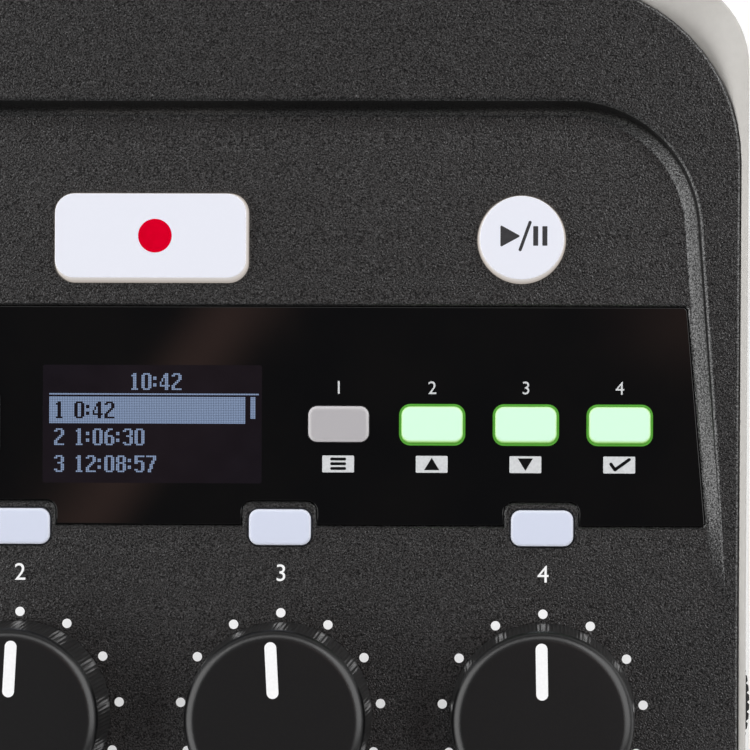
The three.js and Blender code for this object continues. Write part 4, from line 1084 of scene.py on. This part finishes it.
def volume_knob_part():
    """A small turned knob with a ribbed side, about the height axis, from its stem to its round edge."""
    return turned([
        (2.0, -8.0), (2.0, 0.7), (5.2, 0.7), (5.4, 0.85), (5.5, 1.1), (5.5, 1.3), (5.5, 8.4), (5.45, 8.7),
        (5.2, 9.15), (4.9, 9.38), (4.5, 9.48), (3.5, 9.46), (0, 9.45),
    ], 240, ribs=40, rib_depth=0.24, ribbed=(5, 6))


gain_pointer = rounded_rect(1.55, 7.4, 0.77, 0, 6.62, 8)
volume_pointer = rounded_rect(0.8, 2.6, 0.38, 0, 3.2, 5)
gain_cap, volume_cap = gain_knob_part(), volume_knob_part()
knobs = [(f"gain_knob_{i + 1}", panel_place(u, 0, KNOB_REST_DEGREES[i]), gain_cap, gain_pointer, KNOB_TOP)
         for i, u in enumerate(CHANNELS)]
knobs += [(f"volume_knob_{i + 1}", to_front(x, FRONT_AXIS_Z), volume_cap, volume_pointer, 9.47)
          for i, x in enumerate(VOLUME_COLUMNS)]
for label, place, cap, pointer, face in knobs:
    add(label + "_cap", [moved(cap, place)], knob_black, body=label, stands_for=[label],
        crease=30)
    add(label + "_pointer", [plate(pointer, face, place)], print_white_painted_glow, body=label)


# Sockets

def mic_socket_part():
    """Collar outside the wall, the ring groove for a plug's shell, and a core bored for a round plug."""
    return turned([
        (0, -18), (11.2, -18), (11.2, 0.3), (12.7, 0.3), (12.7, 0.95), (12.62, 1.15), (12.4, 1.26),
        (12.1, 1.3), (10.3, 1.3), (9.95, 1.2), (9.75, 0.9), (9.7, 0.4), (9.7, -11.7), (7.9, -11.7),
        (7.9, -0.2), (7.8, 0.1), (7.5, 0.3), (3.7, 0.3), (3.4, 0.2), (3.25, 0.0), (3.25, -13), (0, -13),
    ], 96)


pin_hole = turned([(PIN_BORE + 0.2 + BEYOND, 0.3 + BEYOND), (PIN_BORE, 0.1), (PIN_BORE, -9)], 24)
pin_sleeve = turned([(1.12, -8), (1.12, -0.5), (0.8, -0.5), (0.8, -7.5), (0, -7.5)], 24)
pin_angles = np.radians([200, 340, 90])
pin_places = [(PIN_CIRCLE * math.cos(a), PIN_CIRCLE * math.sin(a)) for a in pin_angles]
plug_sleeve = turned([(3.22, -12), (3.22, -1.2), (2.9, -1.2), (2.9, -11.5), (0, -11.5)], 40)
latch = risen(rounded_rect(6.0, 2.2, 0.5, 0, 11.1), [(0, 0.9), (0, 1.22), (0.07, 1.29)])
for i, x in enumerate(CHANNELS):
    label = f"mic_socket_{i + 1}"
    place = to_rear(x, MIC_Z)
    holes = [moved(shifted(pin_hole, *at), place) for at in pin_places]
    add(label + "_body", [moved(mic_socket_part(), place)], socket_black,
        stands_for=[label], cuts=[("DIFFERENCE", holes)])
    add(label + "_contacts", [moved(shifted(pin_sleeve, *at), place) for at in pin_places], gold)
    add(label + "_sleeve", [moved(plug_sleeve, place)], steel)
    add(label + "_latch", [moved(latch, place)], knob_black)


nose = turned([(0, -12.5), (3.0, -12.5), (3.0, -0.2), (2.85, -0.04), (2.7, 0.0), (2.35, 0.0), (2.3, -0.3),
               (2.3, -12), (0, -12)], 48)
lining = turned([(2.3, -11.9), (2.3, -0.3), (2.15, -0.14), (1.95, -0.2), (1.85, -0.35), (1.85, -11.5),
                 (0, -11.5)], 48)
jacks = [(f"headphone_jack_{i + 1}", to_front(x, FRONT_AXIS_Z)) for i, x in enumerate(JACK_COLUMNS)]
jacks.append(("phone_socket", to_right(PHONE_Y, PHONE_Z)))
for label, place in jacks:
    add(label + "_nose", [moved(nose, place)], socket_black, stands_for=[label])
    add(label + "_lining", [moved(lining, place)], steel)

sleeve = rounded_rect(9.0, 3.3, 1.3)
sleeve_rings = [level(inward(sleeve, inset), height) for inset, height in
                ((0, -7.4), (0, -0.08), (0.06, 0), (0.3, 0), (0.36, -0.08), (0.36, -7.0))]
tongue = risen(rounded_rect(6.4, 0.7, 0.3), [(0, -7.2), (0, -0.9), (0.12, -0.7)])
add("usb_sleeve", [moved(loft(sleeve_rings), to_left(USB_Y, USB_Z))], steel,
    stands_for=["usb_port"])
add("usb_tongue", [moved(tongue, to_left(USB_Y, USB_Z))], component_black)


# Power slider

def slider_part():
    """Rings up the slider's height of an outline whose outer side is an arc with seven small grooves."""
    half, sagitta, base, back = 8, 1.7, 79.1, 78.2
    pitch, groove_depth, grooved_half = 1.3, 0.28, 4.7
    y = np.linspace(-half, half, 161)
    radius = (half**2 + sagitta**2) / (2 * sagitta)
    arc = np.sqrt(radius**2 - y**2) - (radius - sagitta)
    groove = groove_depth * np.maximum(0, np.cos(2 * math.pi * y / pitch)) ** 2 * (np.abs(y) < grooved_half)
    outer = np.stack([base + arc - groove, SLIDER_Y + y], -1)
    inner = np.array([[base, SLIDER_Y + half], [back, SLIDER_Y + 7], [back, SLIDER_Y - 7],
                      [base, SLIDER_Y - half]])
    outline = np.concatenate([outer[1:-1], inner])
    middle = np.array([78.6, SLIDER_Y])
    rings = []
    for share, z in ((0.97, -2.5), (0.99, -2.44), (1, -2.3), (1, 2.3), (0.99, 2.44), (0.97, 2.5)):
        ring = middle + (outline - middle) * [share, 0.5 + share / 2]
        rings.append(level(ring, SLIDER_Z + z))
    return loft(rings)


neck = box_part((76.4, SLIDER_Y - 3, SLIDER_Z - 1.2), (78.6, SLIDER_Y + 3, SLIDER_Z + 1.2))
add("power_slider_cap", [slider_part(), neck], component_black, body="power_slider",
    stands_for=["power_slider"])

# Underside

def door_part():
    """The battery door: a plate with round front corners and a finger notch between them."""
    half, front, rear, corner, notch = DOOR_HALF_LENGTH, BAY_Y - 16.25, BAY_Y + 15.45, 2.0, 6.0
    turn = np.linspace(0, math.pi / 2, 7)
    dip = np.array([[-notch, front], [-notch + 0.5, front + 1.5], [-notch + 1, front + 2],
                    [notch - 1, front + 2], [notch - 0.5, front + 1.5], [notch, front]])
    right = np.stack([half - corner + corner * np.sin(turn), front + corner - corner * np.cos(turn)], -1)
    outline = np.concatenate([dip, right, [[half, rear], [-half, rear]], (right * [-1, 1])[::-1]])
    return risen(outline, [(0.3, 1.5), (0.1, 1.56), (0, 1.75), (0, 3.1)])


# The door's hinge is a round bar along its rear edge.
HINGE_Y, HINGE_Z, HINGE_RADIUS, HINGE_END = 13.75, 2.3, 0.8, 30.9
hinge_round = circle(HINGE_RADIUS, HINGE_Y, HINGE_Z, 24)
hinge_bar = loft([np.column_stack([np.full(24, x), hinge_round]) for x in
                  (-DOOR_HALF_LENGTH, -HINGE_END, HINGE_END, DOOR_HALF_LENGTH)])
grip_grooves = [risen(rounded_rect(16, 0.7, 0.33, 0, BAY_Y - 11.6 + 1.5 * k), [(-0.3, 1.2), (0, 1.75)])
                for k in range(5)]
add("battery_door_plate", [door_part(), hinge_bar], case_grey, body="battery_door",
    stands_for=["battery_door"], cuts=[("DIFFERENCE", grip_grooves)])

screw_head = turned([(0, 3.6), (2.5, 3.6), (2.5, 2.2), (2.3, 1.95), (1.9, 1.83), (1.2, 1.8), (0, 1.8)], 36)
screw_cross = (box_part((-1.35, -0.3, 1.2), (1.35, 0.3, 2.7)), box_part((-0.3, -1.35, 1.2), (0.3, 1.35, 2.7)))
for i, (x, y) in enumerate(SCREWS):
    label = f"case_screw_{i + 1}"
    add(label + "_head", [shifted(screw_head, x, y)], steel, stands_for=[label],
        cuts=[("DIFFERENCE", [shifted(groove, x, y)]) for groove in screw_cross])

for label, y in zip(("rubber_foot_front", "rubber_foot_rear"), FEET_Y):
    foot = risen(rounded_rect(104, 8, 4, 0, y, 10), [(0, 2.2), (0, 0.35), (0.1, 0.1), (0.35, 0)])
    add(label + "_strip", [foot], rubber, stands_for=[label])


def cell_part(y, way):
    """A round cell along X: sleeve with rounded ends, and its nub."""
    part = turned([(0, -25.25), (6.6, -25.25), (7.0, -25.1), (7.1, -24.7), (7.1, 23.6), (7.0, 24.1),
                   (6.6, 24.25), (2.75, 24.25), (2.75, 25.0), (2.5, 25.25), (0, 25.25)])
    return moved(part, lambda p: np.stack([way * p[:, 2], y + p[:, 0], CELL_Z + way * p[:, 1]], -1))


for i, way in enumerate((1, -1)):
    label = f"cell_{i + 1}"
    add(label + "_sleeve", [cell_part(BAY_Y - way * CELL_SHIFT, way)], cell_sleeve,
        stands_for=[label])

# Plain numbers on the front and rear walls
WALL_NUMBER_HEIGHT, WALL_NUMBER_LIFT = 2.2, 0.01
for name, to_wall, z in (("front_numbers", to_front, 24.5), ("rear_numbers", to_rear, 38.6)):
    numbers = [text_part(str(i + 1), WALL_NUMBER_HEIGHT, to_wall(x, z), WALL_NUMBER_LIFT)
               for i, x in enumerate(CHANNELS)]
    add(name, numbers, print_dark)

# Finishes of the nodes that keep their own shape
for names, finish in (
    (("main_board", "panel_board"), board_green),
    ([f"{kind}_pot_{i + 1}" for kind in ("gain", "volume") for i in range(4)], component_black),
    (("card_slot", "contact_left", "contact_right"), steel),
    (("oled_module",), display_back),
):
    for label in names:
        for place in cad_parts[label].material_slots:
            place.material = finish

# Floor, light and camera. The floor looks lighter to the camera, by FLOOR_LIFT, than it lights the recorder.
FLOOR_HALF = 4
FLOOR_LIFT = 0.22
floor_finish = new_finish("pale_floor", (240, 240, 240), 0.9)
mottle(floor_finish, (239, 239, 239), (241, 241, 241), 3)
shine(floor_finish, (255, 255, 255), 0.0)
seen = node(floor_finish, "ShaderNodeLightPath").outputs["Is Camera Ray"]
lift = node(floor_finish, "ShaderNodeMath", {1: FLOOR_LIFT}, operation="MULTIPLY")
link(floor_finish, seen, lift.inputs[0])
link(floor_finish, lift.outputs[0], shader_of(floor_finish).inputs["Emission Strength"])
floor_mesh = bpy.data.meshes.new("floor")
floor_corners = [(x * FLOOR_HALF, y * FLOOR_HALF, 0) for x, y in ((-1, -1), (1, -1), (1, 1), (-1, 1))]
floor_mesh.from_pydata(floor_corners, [], [(0, 1, 2, 3)])
floor_mesh.materials.append(floor_finish)
floor = new_object("floor", floor_mesh)


def panel_point(u, v, w):
    """A point of the panel's frame in metres."""
    return Vector(on_panel(np.array([u, v, w])) * MM)


def aim(thing, target, up):
    """Turns a lamp or camera to look at target, with up upright in its view: its own three axes as the
    columns of a turn."""
    back = (thing.location - target).normalized()
    right = up.cross(back).normalized()
    over = back.cross(right)
    thing.rotation_mode = "QUATERNION"
    thing.rotation_quaternion = Matrix((right, over, back)).transposed().to_quaternion()


def soft_box(name, location, radiance, width, depth):
    """A lamp aimed at the panel's middle. Its power is pi times its radiance times its area in square
    metres."""
    lamp = bpy.data.lights.new(name, "AREA")
    lamp.shape, lamp.size, lamp.size_y = "RECTANGLE", width, depth
    lamp.energy = radiance * math.pi * width * depth
    holder = new_object(name, lamp)
    holder.location = location
    aim(holder, panel_point(0, 30, 0), Vector((0, 1, 0)))


soft_box("right_soft_box", (0.77, 0.2, 0.79), 2.3, 0.95, 1.1)
soft_box("left_soft_box", (-0.86, -0.02, 0.7), 2.25, 0.95, 1.5)
soft_box("rear_soft_box", (0.0, 0.72, 0.95), 1.9, 1.5, 0.35)
soft_box("front_soft_box", (0.0, -0.5, 1.05), 0.15, 1.5, 0.25)
soft_box("low_front_soft_box", (0.0, -1.25, 0.2), 0.3, 1.6, 0.3)

world = bpy.data.worlds.new("studio")
bpy.context.scene.world = world
world.use_nodes = True


def world_math(operation, first, second=0.0):
    """One step of arithmetic on world directions; each side is a number or another step's output."""
    step = node(world, "ShaderNodeMath", operation=operation)
    for socket, value in zip(step.inputs, (first, second)):
        if isinstance(value, float):
            socket.default_value = value
        else:
            link(world, value, socket)
    return step.outputs[0]


def world_ease(value, low, high, at_low, at_high):
    """A value eased from one level to another between two limits."""
    return span_of(world, value, low, high, at_low, at_high, "SMOOTHSTEP")


# Pale near the horizon and dark overhead, with a faint warm band across the dark part, which the gloss strip
# mirrors. Places in the band are a direction's x and y over its height, seen from the panel's own tilt.
BAND_PLACE, BAND_SLANT, BAND_HALF_WIDTH = -0.0885, 0.7, 0.016
BAND_COLOUR = (0.48, 0.27, 0.22, 1)
PATCH_STRENGTH = 0.6
tilted = node(world, "ShaderNodeMapping", {"Rotation": (-TILT, 0, 0)})
axes = node(world, "ShaderNodeSeparateXYZ")
link(world, node(world, "ShaderNodeTexCoord").outputs["Generated"], tilted.inputs["Vector"])
link(world, tilted.outputs["Vector"], axes.inputs["Vector"])
height = axes.outputs["Z"]
across = world_math("DIVIDE", axes.outputs["X"], height)
along = world_math("DIVIDE", axes.outputs["Y"], height)
slanted = world_math("MULTIPLY", along, BAND_SLANT)
off_band = world_math("SUBTRACT", world_math("SUBTRACT", across, BAND_PLACE), slanted)
off_band = world_math("ABSOLUTE", off_band)
band = world_math("MULTIPLY", world_ease(off_band, 0.0, BAND_HALF_WIDTH, 1.0, 0.0),
                  world_ease(along, -0.09, -0.04, 0.1, 1.0))
patch = world_math("MULTIPLY", world_ease(across, 0.005, 0.045, 0.0, 1.0),
                   world_ease(along, 0.0, 0.02, 0.0, 1.0))
warm = world_math("MAXIMUM", band, world_math("MULTIPLY", patch, PATCH_STRENGTH))
warm = world_math("MULTIPLY", warm, world_ease(height, 0.9, 0.97, 0.0, 1.0))
SKY_GREYS = ((0.0, 0.78), (0.12, 0.6), (0.24, 0.28), (0.4, 0.14))
OVERHEAD = (0.075, 0.075, 0.08, 1)
sky_colours = [(place, (grey, grey, grey, 1)) for place, grey in SKY_GREYS] + [(1.0, OVERHEAD)]
# The factor, the two colours and the result of a colour mix are its inputs 0, 6 and 7 and its output 2.
sky = node(world, "ShaderNodeMix", {7: BAND_COLOUR}, data_type="RGBA", blend_type="ADD")
link(world, warm, sky.inputs[0])
link(world, ramp_of(world, height, sky_colours), sky.inputs[6])
link(world, sky.outputs[2], world.node_tree.nodes["Background"].inputs["Color"])

CAMERA_PLACE, CAMERA_TARGET = (52.1, 42.0, 560.0), (29.99, 45.27, 0)
camera_data = bpy.data.cameras.new("view")
camera_data.lens, camera_data.sensor_width = 201.4, 36.0
camera_data.clip_end = 50
camera = new_object("view", camera_data)
camera.location = panel_point(*CAMERA_PLACE)
roll = math.radians(0.2)
upright = Vector((-math.sin(roll), math.cos(roll) * math.cos(TILT), math.cos(roll) * math.sin(TILT)))
aim(camera, panel_point(*CAMERA_TARGET), upright)
bpy.context.scene.camera = camera
bpy.context.scene.view_settings.view_transform = "Standard"
